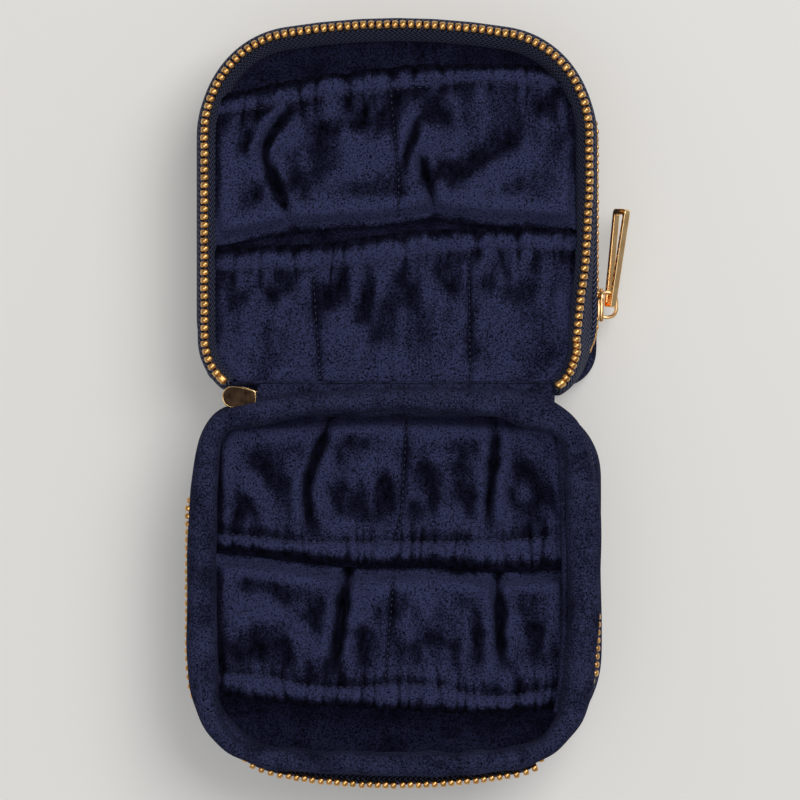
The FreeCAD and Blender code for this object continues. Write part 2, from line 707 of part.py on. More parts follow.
def hinge_strips():
    """The padded velvet strips that join the layers along the hinge side."""
    place = raised_half()
    upper = new_body("front_hinge_strip", place)
    sketch = new_sketch(upper, "XY_Plane", "sizes.rear_wall_top")
    low = (minus("strip_end"), minus("strip_reach"))
    high = (cell("rear_end"), cell("rear_wall"))
    add_rectangle(sketch, low, high)
    pad(upper, sketch, "sizes.strip_thick")

    lower = new_body("back_hinge_strip", place)
    sketch = new_sketch(lower, "XY_Plane", "sizes.back_strip_foot")
    low = (minus("rear_end"), minus("back_strip_reach"))
    high = (cell("rear_end"), (0, "0"))
    add_rectangle(sketch, low, high)
    pad(lower, sketch, "sizes.back_strip_thick")


def check_all():
    for item in doc.Objects:
        if "Invalid" in item.State or "Error" in item.State:
            raise RuntimeError(f"{item.Label} has state {item.State}")
    for part in parts:
        if part.Shape.isNull() or not part.Shape.isValid() or not part.Shape.Solids:
            raise RuntimeError(f"{part.Label} has no valid solid")


make_sheet()
back_cover()
middle_tray()
front_cover()
all_pockets()
all_teeth()
all_sliders()
hinge_strips()
doc.recompute()
check_all()
os.makedirs("parts", exist_ok=True)
for part in parts:
    part.Shape.exportStep(f"parts/{part.Label}.step")
    print(f"{part.Label:20s} {part.Shape.Volume / 1000:8.3f} cm3, {len(part.Shape.Solids)} solids")
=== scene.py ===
import math
import random

import bmesh
import bpy
import numpy as np
from mathutils import Matrix, Vector, noise
from mathutils.bvhtree import BVHTree


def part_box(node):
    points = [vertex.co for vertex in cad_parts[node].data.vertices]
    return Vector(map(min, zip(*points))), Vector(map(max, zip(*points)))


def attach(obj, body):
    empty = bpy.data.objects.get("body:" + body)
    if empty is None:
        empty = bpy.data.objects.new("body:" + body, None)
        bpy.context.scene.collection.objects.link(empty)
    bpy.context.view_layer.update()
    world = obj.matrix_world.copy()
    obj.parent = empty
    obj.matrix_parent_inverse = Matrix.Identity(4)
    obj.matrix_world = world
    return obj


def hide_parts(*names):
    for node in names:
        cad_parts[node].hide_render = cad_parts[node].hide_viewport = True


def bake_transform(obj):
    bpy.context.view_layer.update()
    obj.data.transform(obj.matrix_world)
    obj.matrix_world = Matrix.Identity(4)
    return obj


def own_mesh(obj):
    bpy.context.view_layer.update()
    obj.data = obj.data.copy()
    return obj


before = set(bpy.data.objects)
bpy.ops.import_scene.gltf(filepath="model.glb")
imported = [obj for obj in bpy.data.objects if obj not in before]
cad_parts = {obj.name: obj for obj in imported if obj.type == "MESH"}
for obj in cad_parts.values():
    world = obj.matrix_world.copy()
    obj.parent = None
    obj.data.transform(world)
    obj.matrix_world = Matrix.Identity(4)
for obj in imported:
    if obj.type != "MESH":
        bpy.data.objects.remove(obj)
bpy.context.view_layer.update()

# A velvet travel jewelry case lying open like a book, seen from straight above.
# Lengths are in millimetres, and to_world() turns them into the frame's metres.
# Each half is drawn in its own (x, v, z): v runs from its hinge side to its far side.

MM = 0.001

# ------------------------------------------------------------------ sizes from the frame

LOW = {name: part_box(name)[0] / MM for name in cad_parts}
HIGH = {name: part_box(name)[1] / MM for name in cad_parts}
HALF_WIDTH = HIGH["back_shell"].x
LENGTH = HIGH["back_shell"].y - LOW["back_shell"].y
RAISED_EDGE = LOW["back_shell"].y
FRONT_EDGE = HIGH["front_shell"].y
HINGE_Y = (RAISED_EDGE + FRONT_EDGE) / 2
TRAY_FLOOR = LOW["tray_near_pocket"].z
COVER_FLOOR = LOW["cover_near_pocket"].z
WALL_TOP = LOW["front_hinge_strip"].z

# The outline's corners away from the hinge and beside it, and the bow of its far side.
FAR_RADIUS = 27.0
NEAR_RADIUS = 17.0
FAR_BOW = 180.0

# The spacing of the teeth, how far out in x the rows end, and how far the tray's edge and
# the first zip on it reach back over the hinge.
PITCH = 2.05
ROW_END = 44.5
RIGHT_ROW_END = 42.0
NEAR_SHIFT = -5.0

# The two halves, by the direction of v along y.
RAISED = 1
FRONT = -1


def to_world(side, points):
    """(x, v, z) points of a half, in millimetres, to the frame's metres."""
    world = np.array(points, float).reshape(-1, 3)
    edge = RAISED_EDGE if side == RAISED else FRONT_EDGE
    world[:, 1] = edge + side * world[:, 1]
    return world * MM


# ------------------------------------------------------------------ outlines and paths

def outline(inset, near_shift=0.0, near_radius=NEAR_RADIUS):
    """The closed outline at an inset, anticlockwise from the middle of the hinge side.

    near_shift moves the hinge side, with its corners, towards the far side.
    """
    half = HALF_WIDTH - inset
    near = near_radius - inset
    far = FAR_RADIUS - inset
    bow = FAR_BOW - inset
    bow_v = LENGTH - FAR_BOW
    corner_x = half - far
    corner_v = bow_v + math.sqrt((bow - far) ** 2 - corner_x ** 2)
    turn = math.atan2(corner_v - bow_v, corner_x)
    near_v = inset + near_shift
    arcs = [
        (half - near, near_v + near, near, -math.pi / 2, 0),
        (corner_x, corner_v, far, 0, turn),
        (0, bow_v, bow, turn, math.pi - turn),
        (-corner_x, corner_v, far, math.pi - turn, math.pi),
        (near - half, near_v + near, near, math.pi, 1.5 * math.pi),
    ]
    points = [(0.0, near_v)]
    for x, v, radius, start, end in arcs:
        count = max(4, int(math.degrees(end - start) / 3))
        for i in range(count + 1):
            angle = start + (end - start) * i / count
            points.append((x + radius * math.cos(angle), v + radius * math.sin(angle)))
    points.append((0.0, near_v))
    return np.array(points)


def resample(points, count=None, spacing=None):
    """Evenly spaced points along a polyline."""
    points = np.array(points, float)
    steps = np.linalg.norm(np.diff(points, axis=0), axis=1)
    reach = np.concatenate([[0.0], np.cumsum(steps)])
    if count is None:
        count = int(round(reach[-1] / spacing)) + 1
    at = np.linspace(0, reach[-1], count)
    return np.stack([np.interp(at, reach, points[:, k]) for k in range(points.shape[1])], 1)


def closed_path(inset, spacing, near_shift=0.0, near_radius=NEAR_RADIUS):
    return resample(outline(inset, near_shift, near_radius), spacing=spacing)[:-1]


def open_path(inset, left_end, right_end, spacing, near_shift=0.0):
    """The outline without its hinge side: from x = right_end round to x = -left_end."""
    points = resample(outline(inset, near_shift), spacing=0.3)
    x = points[:, 0]
    near = (x < right_end) & (x > -left_end) & (points[:, 1] < LENGTH / 3)
    return resample(points[~near], spacing=spacing)


def tray_path(inset, spacing):
    """The first zip's line on the tray, pulled out a little at the far side."""
    points = open_path(inset, ROW_END, RIGHT_ROW_END, spacing, NEAR_SHIFT)
    points[:, 1] += 1.5 * smooth_step((points[:, 1] - 66.0) / 26.0)
    return resample(points, spacing=spacing)


def tray_lean(place):
    """How far in the top of the first zip's wall leans at a place on the right."""
    x, v = place
    lean = np.interp(v, [-5.0, -1.0, 4.0, 11.6, 22.0, 32.0, 50.0], [0, 0.6, 2.2, 3.3, 2.3, 0.9, 0])
    return float(lean * smooth_step((x - 34.0) / 8.0))


def second_zip_path(spacing):
    """The second zip's line, which shows on the right only and lies farther in elsewhere."""
    path = open_path(0.0, ROW_END, ROW_END, 0.5)
    normals = outward(path)
    path = path - normals * np.array([tucked(point) for point in path])[:, None]
    return resample(path, spacing=spacing)


def tucked(point):
    """How far in from the outline the lower layers lie at a place, in millimetres."""
    x, v = point
    right = smooth_step((x - 44.0) / 6.0) * smooth_step((v + 6.0) / 6.0)
    right *= smooth_step((78.0 - v) / 12.0)
    return 1.5 * (1.0 - float(right))


def outward(points, closed=False):
    """Outward normals along an anticlockwise path."""
    if closed:
        tangents = np.roll(points, -1, 0) - np.roll(points, 1, 0)
    else:
        tangents = np.gradient(points, axis=0)
    tangents /= np.linalg.norm(tangents, axis=1)[:, None]
    return np.stack([tangents[:, 1], -tangents[:, 0]], 1)


def half_width_at(v, inset, near_shift):
    """Half the width of the outline at an inset, at places v."""
    points = resample(outline(inset, near_shift), spacing=0.5)
    right = points[points[:, 0] > 0]
    lowest = right[np.argmin(right[:, 1])][1]
    highest = right[np.argmax(right[:, 1])][1]
    v = np.clip(v, lowest + 0.05, highest - 0.3)
    order = np.argsort(right[:, 1])
    return np.interp(v, right[order, 1], right[order, 0])


def smooth_step(t):
    t = np.clip(t, 0.0, 1.0)
    return t * t * (3 - 2 * t)


def wave_round(amount, seed, lowest=2, count=9):
    """A smooth seeded wave of t, from 0 to 1, that closes on itself."""
    source = random.Random(seed)
    terms = [
        (lowest + k, source.uniform(0, 2 * math.pi), source.uniform(0.4, 1.0))
        for k in range(count)
    ]
    total = sum(weight for _, _, weight in terms)

    def value(t):
        parts = [weight * math.sin(2 * math.pi * k * t + phase) for k, phase, weight in terms]
        return 2 * amount * sum(parts) / total
    return value


# ------------------------------------------------------------------ mesh helpers

def new_object(name, points, faces, uvs=None):
    """A smooth-shaded mesh object of points in metres."""
    mesh = bpy.data.meshes.new(name)
    mesh.from_pydata([tuple(p) for p in points], [], faces)
    if uvs is not None:
        layer = mesh.uv_layers.new(name="UVMap")
        corners = np.zeros(len(mesh.loops), np.int32)
        mesh.loops.foreach_get("vertex_index", corners)
        layer.data.foreach_set("uv", np.array(uvs, np.float32)[corners].ravel())
    mesh.polygons.foreach_set("use_smooth", [True] * len(mesh.polygons))
    mesh.update()
    work = bmesh.new()
    work.from_mesh(mesh)
    bmesh.ops.recalc_face_normals(work, faces=work.faces)
    work.to_mesh(mesh)
    work.free()
    piece = bpy.data.objects.new(name, mesh)
    bpy.context.scene.collection.objects.link(piece)
    return piece


def subdivide(piece, levels=1):
    modifier = piece.modifiers.new("subdivision", "SUBSURF")
    modifier.levels = levels
    modifier.render_levels = levels
    return piece


def grid_faces(rows, columns, wrap_rows=False, wrap_columns=False, first=0):
    faces = []
    for i in range(rows if wrap_rows else rows - 1):
        for j in range(columns if wrap_columns else columns - 1):
            k = (i + 1) % rows
            m = (j + 1) % columns
            corners = (i * columns + j, k * columns + j, k * columns + m, i * columns + m)
            faces.append(tuple(first + c for c in corners))
    return faces


def tube_faces(rows, ring, first=0):
    """The faces of a tube of rings of points, with a cap at each end."""
    last = first + (rows - 1) * ring
    faces = grid_faces(rows, ring, False, True, first=first)
    faces.append(tuple(range(first, first + ring)))
    faces.append(tuple(reversed(range(last, last + ring))))
    return faces


def loft(name, side, path, section, closed=False, change=None):
    """A closed section of (outward, z) points swept along a flat path of (x, v) points.

    change(points, place) may alter the section at a place of the path.
    The UVs are millimetres along the path and round the section.
    """
    normals = outward(path, closed)
    section = np.array(section, float)
    looped = np.vstack([section, section[:1]])
    around = np.concatenate([[0], np.cumsum(np.linalg.norm(np.diff(looped, axis=0), axis=1))])
    steps = np.linalg.norm(np.diff(path, axis=0), axis=1)
    along = np.concatenate([[0], np.cumsum(steps)])
    points = []
    uvs = []
    for i, (centre, normal) in enumerate(zip(path, normals)):
        ring = section if change is None else change(section.copy(), centre)
        for (out, z), across in zip(ring, around):
            points.append((centre[0] + normal[0] * out, centre[1] + normal[1] * out, z))
            uvs.append((along[i], across))
    if closed:
        faces = grid_faces(len(path), len(section), True, True)
    else:
        faces = tube_faces(len(path), len(section))
    return new_object(name, to_world(side, points), faces, uvs)


def finish_piece(piece, body, material, slot, *nodes):
    """Gives a piece its material, the body it rides on and the nodes it replaces; slot is not used.
    """
    piece.data.materials.clear()
    piece.data.materials.append(material)
    if body is not None:
        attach(piece, body)
    if nodes:
        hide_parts(*nodes)
    return piece


# ------------------------------------------------------------------ materials

class Nodes:
    """A short way to write a node tree."""

    def __init__(self, name):
        self.material = bpy.data.materials.new(name)
        self.material.use_nodes = True
        self.tree = self.material.node_tree
        self.shader = self.tree.nodes["Principled BSDF"]

    def give(self, socket, value):
        if isinstance(value, bpy.types.NodeSocket):
            self.tree.links.new(value, socket)
        else:
            socket.default_value = value

    def add(self, kind, inputs=(), **settings):
        node = self.tree.nodes.new(kind)
        for key, value in settings.items():
            setattr(node, key, value)
        for key, value in dict(inputs).items():
            self.give(node.inputs[key], value)
        return node

    def maths(self, operation, *values):
        node = self.add("ShaderNodeMath", operation=operation)
        for index, value in enumerate(values):
            self.give(node.inputs[index], value)
        return node.outputs[0]

    def set(self, name, value):
        self.give(self.shader.inputs[name], value)

    def place(self):
        """The object's own place in millimetres."""
        where = self.add("ShaderNodeTexCoord").outputs["Object"]
        inputs = {"Vector": where, "Scale": (1 / MM,) * 3}
        return self.add("ShaderNodeMapping", inputs).outputs[0]

    def noise(self, where, scale, detail=2.0, rough=0.5, stretch=None):
        if stretch is not None:
            where = self.add("ShaderNodeMapping", {"Vector": where, "Scale": stretch}).outputs[0]
        inputs = {"Vector": where, "Scale": scale, "Detail": detail, "Roughness": rough}
        return self.add("ShaderNodeTexNoise", inputs).outputs[0]

    def ramp(self, factor, stops):
        """A colour ramp of two stops, each a place and a colour."""
        node = self.add("ShaderNodeValToRGB", {"Fac": factor})
        for element, (place, colour) in zip(node.color_ramp.elements, stops):
            element.position = place
            element.color = (*colour, 1)
        return node.outputs[0]

    def bump(self, height, distance_mm, strength=1.0, normal=None):
        inputs = {"Height": height, "Distance": distance_mm * MM, "Strength": strength}
        if normal is not None:
            inputs["Normal"] = normal
        return self.add("ShaderNodeBump", inputs).outputs[0]


def velvet(name, dark, light, sheen, brushed_and_shaded=False):
    """Short-pile velvet: patches and streaks of nap, a fine fibre grain and some sheen.

    brushed_and_shaded velvet takes the lie of its pile, with painted light and painted shade, from
    the mesh's "nap" values, from 0 to 1.
    """
    n = Nodes(name)
    where = n.place()
    streaks = n.noise(where, 0.5, 3.0, 0.7, stretch=(1.0, 0.45, 1.0))
    grain = n.noise(where, 2.0, 3.0, 0.95)
    if brushed_and_shaded:
        # The "nap" attribute holds painted light and painted shade along with the pile's lie.
        lie = n.add("ShaderNodeAttribute", attribute_name="nap").outputs["Fac"]
    else:
        lie = n.maths("MULTIPLY_ADD", n.noise(where, 0.13, 3.0, 0.6), 1.5, -0.30)
    lie = n.maths("ADD", lie, n.maths("MULTIPLY_ADD", streaks, 0.45, -0.225))
    tufts = n.maths("MULTIPLY_ADD", grain, 11.0, -4.5)
    mixed = n.maths("MULTIPLY", n.maths("ADD", lie, 0.06), tufts)
    scaled = n.maths("MULTIPLY", mixed, 0.5)
    n.set("Base Color", n.ramp(scaled, [(0.0, dark), (0.5, light)]))
    n.set("Roughness", 0.95)
    n.set("Specular IOR Level", 0.02)
    n.set("Sheen Weight", sheen)
    n.set("Sheen Roughness", 0.4)
    n.set("Sheen Tint", (0.42, 0.46, 0.85, 1))
    nap = n.bump(n.noise(where, 0.8, 3.0, 0.65), 0.35, 0.5)
    n.set("Normal", n.bump(grain, 0.25, 1.0, nap))
    return n.material


def herringbone(name, dark, light):
    """Woven zip tape: slanting threads that turn back at each rib, painted lighter on their raised
    tops and darker between them.

    It reads the UVs, which are millimetres along the tape and across it.
    """
    n = Nodes(name)
    uv = n.add("ShaderNodeTexCoord").outputs["UV"]
    split = n.add("ShaderNodeSeparateXYZ", {"Vector": uv})
    rib = 1.5
    thread = 0.68
    folded = n.maths("PINGPONG", split.outputs[1], rib)
    weave = n.maths("PINGPONG", n.maths("ADD", split.outputs[0], folded), thread)
    height = n.maths("DIVIDE", weave, thread)
    fibre = n.noise(n.place(), 3.0, 2.0, 0.6)
    # Painted highlight on the raised threads and painted shade between them, with random fibre
    # flecks.
    shade = n.maths("MULTIPLY_ADD", fibre, 0.4, n.maths("MULTIPLY", height, 0.6))
    n.set("Base Color", n.ramp(shade, [(0.38, dark), (0.70, light)]))
    n.set("Roughness", 0.7)
    n.set("Specular IOR Level", 0.08)
    n.set("Sheen Weight", 0.02)
    n.set("Sheen Roughness", 0.4)
    n.set("Sheen Tint", (0.45, 0.5, 0.9, 1))
    n.set("Normal", n.bump(height, 0.2, 0.9, n.bump(fibre, 0.05, 0.6)))
    return n.material


def plated_metal(name, colour, worn, roughness, tarnish):
    """Gold-plated metal with faint scuffs and a little uneven tarnish."""
    n = Nodes(name)
    where = n.place()
    cloud = n.noise(where, 0.35, 3.0, 0.6)
    scuff = n.noise(where, 1.6, 4.0, 0.7, stretch=(1.0, 0.2, 1.0))
    amount = n.maths("MULTIPLY_ADD", cloud, 0.7, n.maths("MULTIPLY", scuff, 0.3))
    n.set("Base Color", n.ramp(amount, [(0.5 - tarnish, worn), (0.6, colour)]))
    n.set("Metallic", 1.0)
    n.set("Roughness", n.maths("MULTIPLY_ADD", scuff, 0.14, roughness))
    n.set("Normal", n.bump(scuff, 0.02, 0.25))
    return n.material


def matt_fibre(name, dark, light, scale):
    """Grey board, foam or elastic: an uneven matt surface."""
    n = Nodes(name)
    fleck = n.noise(n.place(), scale, 4.0, 0.7)
    n.set("Base Color", n.ramp(fleck, [(0.35, dark), (0.65, light)]))
    n.set("Roughness", 0.9)
    n.set("Normal", n.bump(fleck, 0.1, 0.6))
    return n.material


VELVET = velvet("velvet_pile", (0.0010, 0.0012, 0.0036), (0.030, 0.034, 0.080), 0.03)
# The lining is the pockets' navy velvet made about half as light: partly its own colour, partly
# painted shade for the gaps it lies in.
LINING_SHADED = velvet("lining_pile_shaded", (0.0006, 0.0007, 0.0025), (0.014, 0.0155, 0.040), 0.02)
# The pockets' velvet: painted light and painted shade come from the mesh's "nap" values.
GATHERED_SHADED = velvet("gathered_pile_shaded", (0.0005, 0.0006, 0.0019), (0.034, 0.038, 0.094), 0.012, True)
TAPE = herringbone("tape_weave", (0.0005, 0.0006, 0.0018), (0.065, 0.074, 0.130))
TEETH_GOLD = plated_metal("teeth_gold", (0.80, 0.46, 0.16), (0.40, 0.20, 0.06), 0.20, 0.25)
PULL_GOLD = plated_metal("pull_gold", (0.95, 0.66, 0.34), (0.84, 0.52, 0.23), 0.10, 0.10)
# A dark metal used only for the painted shade on each slider's back plate.
SHADE_BRONZE = plated_metal("painted_shade_bronze", (0.040, 0.024, 0.014), (0.014, 0.008, 0.005), 0.34, 0.10)
BOARD = matt_fibre("grey_board", (0.26, 0.24, 0.21), (0.42, 0.39, 0.35), 1.2)
FOAM = matt_fibre("open_foam", (0.60, 0.60, 0.55), (0.78, 0.77, 0.72), 2.5)
THREAD = matt_fibre("sewing_thread", (0.006, 0.007, 0.022), (0.030, 0.034, 0.085), 3.0)


def keep_cad_nodes():
    """The hidden stiffeners keep their CAD shapes and get their real materials."""
    for name in ("back_board", "divider_board", "front_board", "front_foam"):
        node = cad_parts[name]
        node.data.materials.clear()
        node.data.materials.append(FOAM if name == "front_foam" else BOARD)


# ------------------------------------------------------------------ shells and linings

FLOOR_RINGS = (0.94, 0.8, 0.55, 0.3, 0.1)


def dish(name, side, path, section, swell, seed):
    """A shell: a section of (outward, z) points all round, then a flat floor to the middle."""
    normals = outward(path, True)
    count = len(path)
    bulge = wave_round(swell, seed)
    middle = np.array([0.0, LENGTH / 2])
    points = []
    for out, z in section:
        for i in range(count):
            reach = out + bulge(i / count) * smooth_step(z / 10.0)
            points.append((*(path[i] + normals[i] * reach), z))
    edge = path + normals * section[-1][0]
    for share in FLOOR_RINGS:
        for i in range(count):
            points.append((*(middle + (edge[i] - middle) * share), section[-1][1]))
    rows = len(section) + len(FLOOR_RINGS)
    faces = grid_faces(rows, count, False, True)
    faces.append(tuple((rows - 1) * count + k for k in range(count)))
    return subdivide(new_object(name, to_world(side, points), faces))


def back_shell():
    """The back cover's velvet skin: a shallow dish with a soft bottom edge."""
    top = LOW["zip2_lower_tape"].z
    section = [
        (-1.5, 2.9), (-1.4, top - 0.6), (-1.2, top + 0.3), (-0.5, top + 0.6), (0.3, top + 0.1),
        (0.7, top - 1.2), (0.6, top - 2.7), (-0.3, 0.9), (-2.0, 0.2), (-4.5, 0.02),
    ]
    path = closed_path(0.0, 2.2, near_radius=9.0)
    inward = np.array([tucked(point) for point in path])[:, None]
    path = path - outward(path, True) * inward * (path[:, 1:] > 4.0)
    piece = dish("back_shell_velvet", RAISED, path, section, 0.25, 11)
    return finish_piece(piece, "back_cover", VELVET, "velvet", "back_shell")


def front_shell():
    """The front cover's velvet skin, puffed a little by the foam inside it."""
    top = HIGH["front_shell"].z
    section = [
        (-2.2, 9.0), (-2.2, top - 1.6), (-1.6, top), (-0.6, top + 0.5), (0.5, top - 0.4),
        (1.15, top - 3.0), (1.5, top - 7.0), (1.35, 7.5), (0.6, 3.2), (-0.9, 0.9),
        (-3.0, 0.12), (-6.0, 0.02),
    ]
    piece = dish("front_shell_velvet", FRONT, closed_path(0.0, 2.2), section, 0.5, 21)
    return finish_piece(piece, "front_cover", VELVET, "velvet", "front_shell")


def lining_sheet(name, side, inset, top, thickness, near_shift=0.0, seed=5.0):
    """A lining floor: a closed slab with round edges and a faintly uneven top."""
    path = closed_path(inset, 2.6, near_shift)
    middle = np.array([0.0, LENGTH / 2])
    bottom = top - thickness
    levels = [(0.1, bottom), (0.8, bottom), (1.0, bottom + 0.15), (1.0, top - 0.15)]
    levels += [(share, top) for share in (0.985, 0.9, 0.75, 0.6, 0.45, 0.3, 0.15)]
    points = []
    for share, height in levels:
        for x, v in path:
            px, pv = middle + (np.array([x, v]) - middle) * share
            rise = noise.noise(Vector((px * 0.09, pv * 0.09, seed)))
            lift = 0.3 * rise if height == top else 0.0
            points.append((px, pv, height + lift))
    count = len(path)
    faces = grid_faces(len(levels), count, False, True)
    faces.append(tuple((len(levels) - 1) * count + k for k in range(count)))
    faces.append(tuple(reversed(range(count))))
    return subdivide(new_object(name, to_world(side, points), faces))


def linings():
    """The velvet that lines the back cover, both faces of the tray and the front cover."""
    back = lining_sheet("back_lining_velvet", RAISED, 1.6, 3.4, 0.7, seed=8)
    finish_piece(back, "back_cover", LINING_SHADED, "lining", "back_lining")
    top = HIGH["back_lining"].z
    section = [(-0.3, 3.0), (-0.5, 4.5), (-0.2, top), (0.3, top + 0.2), (0.4, 4.5), (0.4, 3.0)]
    edge = subdivide(loft("back_lining_edge", RAISED, closed_path(1.9, 2.0), section, True))
    finish_piece(edge, "back_cover", LINING_SHADED, "lining")
    under = lining_sheet(
        "divider_velvet", RAISED, 0.9, HIGH["divider_lining"].z, 0.6, near_shift=0.5, seed=9
    )
    finish_piece(under, "middle_tray", LINING_SHADED, "lining", "divider_lining")
    tray = lining_sheet(
        "tray_floor_velvet", RAISED, 1.8, TRAY_FLOOR + 0.2, 0.7, near_shift=-3.4, seed=4
    )
    finish_piece(tray, "middle_tray", LINING_SHADED, "lining", "tray_lining")
    cover = lining_sheet("cover_floor_velvet", FRONT, 0.9, COVER_FLOOR + 0.2, 0.9, seed=6)
    finish_piece(cover, "front_cover", LINING_SHADED, "lining", "front_lining")


# ------------------------------------------------------------------ zip tapes

# How far out from the outline the middle of the cover's tape is at its top.
TAPE_OUT = 2.35


def tape(name, body, side, path, section, change=None):
    """A woven tape in the place of the node of that name."""
    piece = subdivide(loft(name + "_weave", side, path, section, change=change))
    return finish_piece(piece, body, TAPE, "zip_tape", name)


def tapes():
    """The woven tapes that carry the teeth, folded over into the walls behind them."""
    path = second_zip_path(1.5)
    low = LOW["zip2_lower_tape"].z
    section = [
        (-0.9, low - 0.8), (-0.5, low + 1.0), (-0.3, HIGH["zip2_lower_tape"].z),
        (0.25, HIGH["zip2_lower_tape"].z), (0.5, low + 0.8), (0.4, low - 0.8),
    ]
    tape("zip2_lower_tape", "back_cover", RAISED, path, section)

    low = LOW["zip2_upper_tape"].z
    section = [
        (-0.3, low), (-0.5, low + 1.3), (-1.4, TRAY_FLOOR + 0.4), (-0.4, TRAY_FLOOR + 1.2),
        (0.35, TRAY_FLOOR + 0.3), (0.5, low + 1.4), (0.3, low),
    ]
    tape("zip2_upper_tape", "middle_tray", RAISED, path, section, filled_out)

    # The first zip's wall is thick at its foot, where the lining meets it.
    top = HIGH["zip1_upper_tape"].z
    path = tray_path(0.0, 1.5)
    section = [
        (-6.3, TRAY_FLOOR), (-5.6, 16.5), (-4.6, 20.0), (-3.6, 23.0), (-3.1, top + 0.2),
        (-2.2, top), (-1.4, top - 0.1), (-0.7, 23.2), (-0.2, 21.5), (-0.1, 18.5), (-0.5, 16.0),
        (-2.0, TRAY_FLOOR),
    ]
    tape("zip1_upper_tape", "middle_tray", RAISED, path, section, leaning)

    path = open_path(0.0, ROW_END, ROW_END, 1.5)
    section = [
        (0.0, 17.0), (0.2, 20.0), (0.9, 22.5), (2.0, top), (2.7, top), (2.3, 22.0), (1.5, 19.5),
        (0.9, 17.0),
    ]
    piece = tape("zip1_lower_tape", "front_cover", FRONT, path, section, flared)
    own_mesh(piece)


def filled_out(section, centre):
    """Brings the upper part of the second zip's tape back out to the outline."""
    section[:, 0] += tucked(centre) * smooth_step((section[:, 1] - 11.6) / 0.7)
    return section


def leaning(section, centre):
    """Leans the top of the first zip's wall in."""
    section[:, 0] -= tray_lean(centre) * smooth_step((section[:, 1] - 15) / 5)
    return section


def flare_at(centre):
    """How far the open cover's loose tape comes out from under the roll: 0 is hidden."""
    x, v = centre
    left = smooth_step((v - 16) / 10) * smooth_step((82 - v) / 10)
    right = smooth_step((v - 46) / 8) * smooth_step((76 - v) / 8)
    far = smooth_step((v - 84) / 4) * smooth_step((44.0 + x) / 6.0) * smooth_step((39.0 - x) / 6.0)
    return float(max(1.2 * far, 0.85 * left if x < 0 else right * 0.55))


def under_rim(place):
    """How far outwards the middle of the padded rim is from a place, in millimetres."""
    away = RIM_MIDDLE - place
    nearest = away[np.argmin(np.hypot(away[:, 0], away[:, 1]))]
    outwards = place - np.array([0.0, LENGTH / 2])
    return math.copysign(float(np.linalg.norm(nearest)), float(nearest @ outwards))


def flared(section, centre):
    """Tucks the top of the cover's tape under the roll, except where it shows."""
    tucked_in = (1 - flare_at(centre)) * (under_rim(centre) - TAPE_OUT)
    section[:, 0] += tucked_in * smooth_step((section[:, 1] - 17) / 7)
    return section


# ------------------------------------------------------------------ zip teeth

def tooth_shape():
    """A cast tooth as (along, outward, up) points in millimetres, its foot at 0, and its faces."""
    work = bmesh.new()
    bmesh.ops.create_cube(work, size=2.0)
    bmesh.ops.subdivide_edges(work, edges=work.edges, cuts=3, use_grid_fill=True)
    points = []
    for vertex in work.verts:
        a, b, c = vertex.co
        power = 5.0
        length = (abs(a) ** power + abs(b) ** power + abs(c) ** power) ** (1 / power)
        a, b, c = a / length, b / length, c / length
        narrow = 1.0 - 0.12 * smooth_step((c + 1) / 2)
        along = 0.70 * a * narrow
        out = 1.0 * b * (narrow - 0.1 * smooth_step(c))
        up = 0.95 * (c + 1)
        nib = math.exp(-((a / 0.55) ** 2 + (b / 0.45) ** 2))
        up += 0.35 * nib * smooth_step(c * 2 - 1)
        up -= 0.18 * smooth_step(c * 2 - 1) * math.exp(-((abs(b) - 0.72) / 0.25) ** 2)
        points.append((along, out, up))
    faces = [[v.index for v in face.verts] for face in work.faces]
    work.free()
    return np.array(points), faces


TOOTH_POINTS, TOOTH_FACES = tooth_shape()

# An end stop's place from the end of its path, and its length in teeth.
STOP_PLACE = 0.8
STOP_LENGTH = 1.8

# The first zip's rows run this far inside the outline. Where the cover's row hangs loose, it
# lies this far out from there.
FIRST_ZIP_INSET = 2.3
LOOSE_ROW_OUT = 4.7


def tooth_row(name, side, path, foot, upright, shift, offset_at=None, size=1.0):
    """Teeth and two end stops along a path, tips up if upright is 1 and down if it is -1."""
    steps = np.linalg.norm(np.diff(path, axis=0), axis=1)
    reach = np.concatenate([[0.0], np.cumsum(steps)])
    normals = outward(path)
    source = random.Random(name)
    places = list(np.arange(PITCH * (1.5 + shift), reach[-1] - PITCH, PITCH))
    points = []
    faces = []
    for number, at in enumerate([STOP_PLACE, *places, reach[-1] - STOP_PLACE]):
        is_stop = number == 0 or number == len(places) + 1
        centre = np.array([np.interp(at, reach, path[:, k]) for k in (0, 1)])
        normal = np.array([np.interp(at, reach, normals[:, k]) for k in (0, 1)])
        normal /= np.linalg.norm(normal)
        out = 0.0 if offset_at is None else offset_at(centre)
        centre = centre + normal * (out + source.uniform(-0.06, 0.06))
        turn = source.uniform(-0.05, 0.05)
        tangent = np.array([-normal[1], normal[0]])
        across = normal * math.cos(turn) + tangent * math.sin(turn)
        tangent = np.array([-across[1], across[0]])
        lift = foot + source.uniform(-0.05, 0.05)
        first = len(points)
        for along, wide, up in TOOTH_POINTS:
            if is_stop:
                along *= STOP_LENGTH
            spot = centre + (tangent * along + across * wide) * size
            points.append((spot[0], spot[1], lift + upright * up))
        faces += [tuple(first + k for k in face) for face in TOOTH_FACES]
    return new_object(name, to_world(side, points), faces)


def loose(place):
    """How far the cover's row lies out from its path: hidden under the roll or hanging loose."""
    hidden = under_rim(place)
    return hidden + (LOOSE_ROW_OUT - hidden) * flare_at(place)


def leant(place):
    """How far the tray's row lies out from its path, where its wall leans in."""
    return -tray_lean(place)


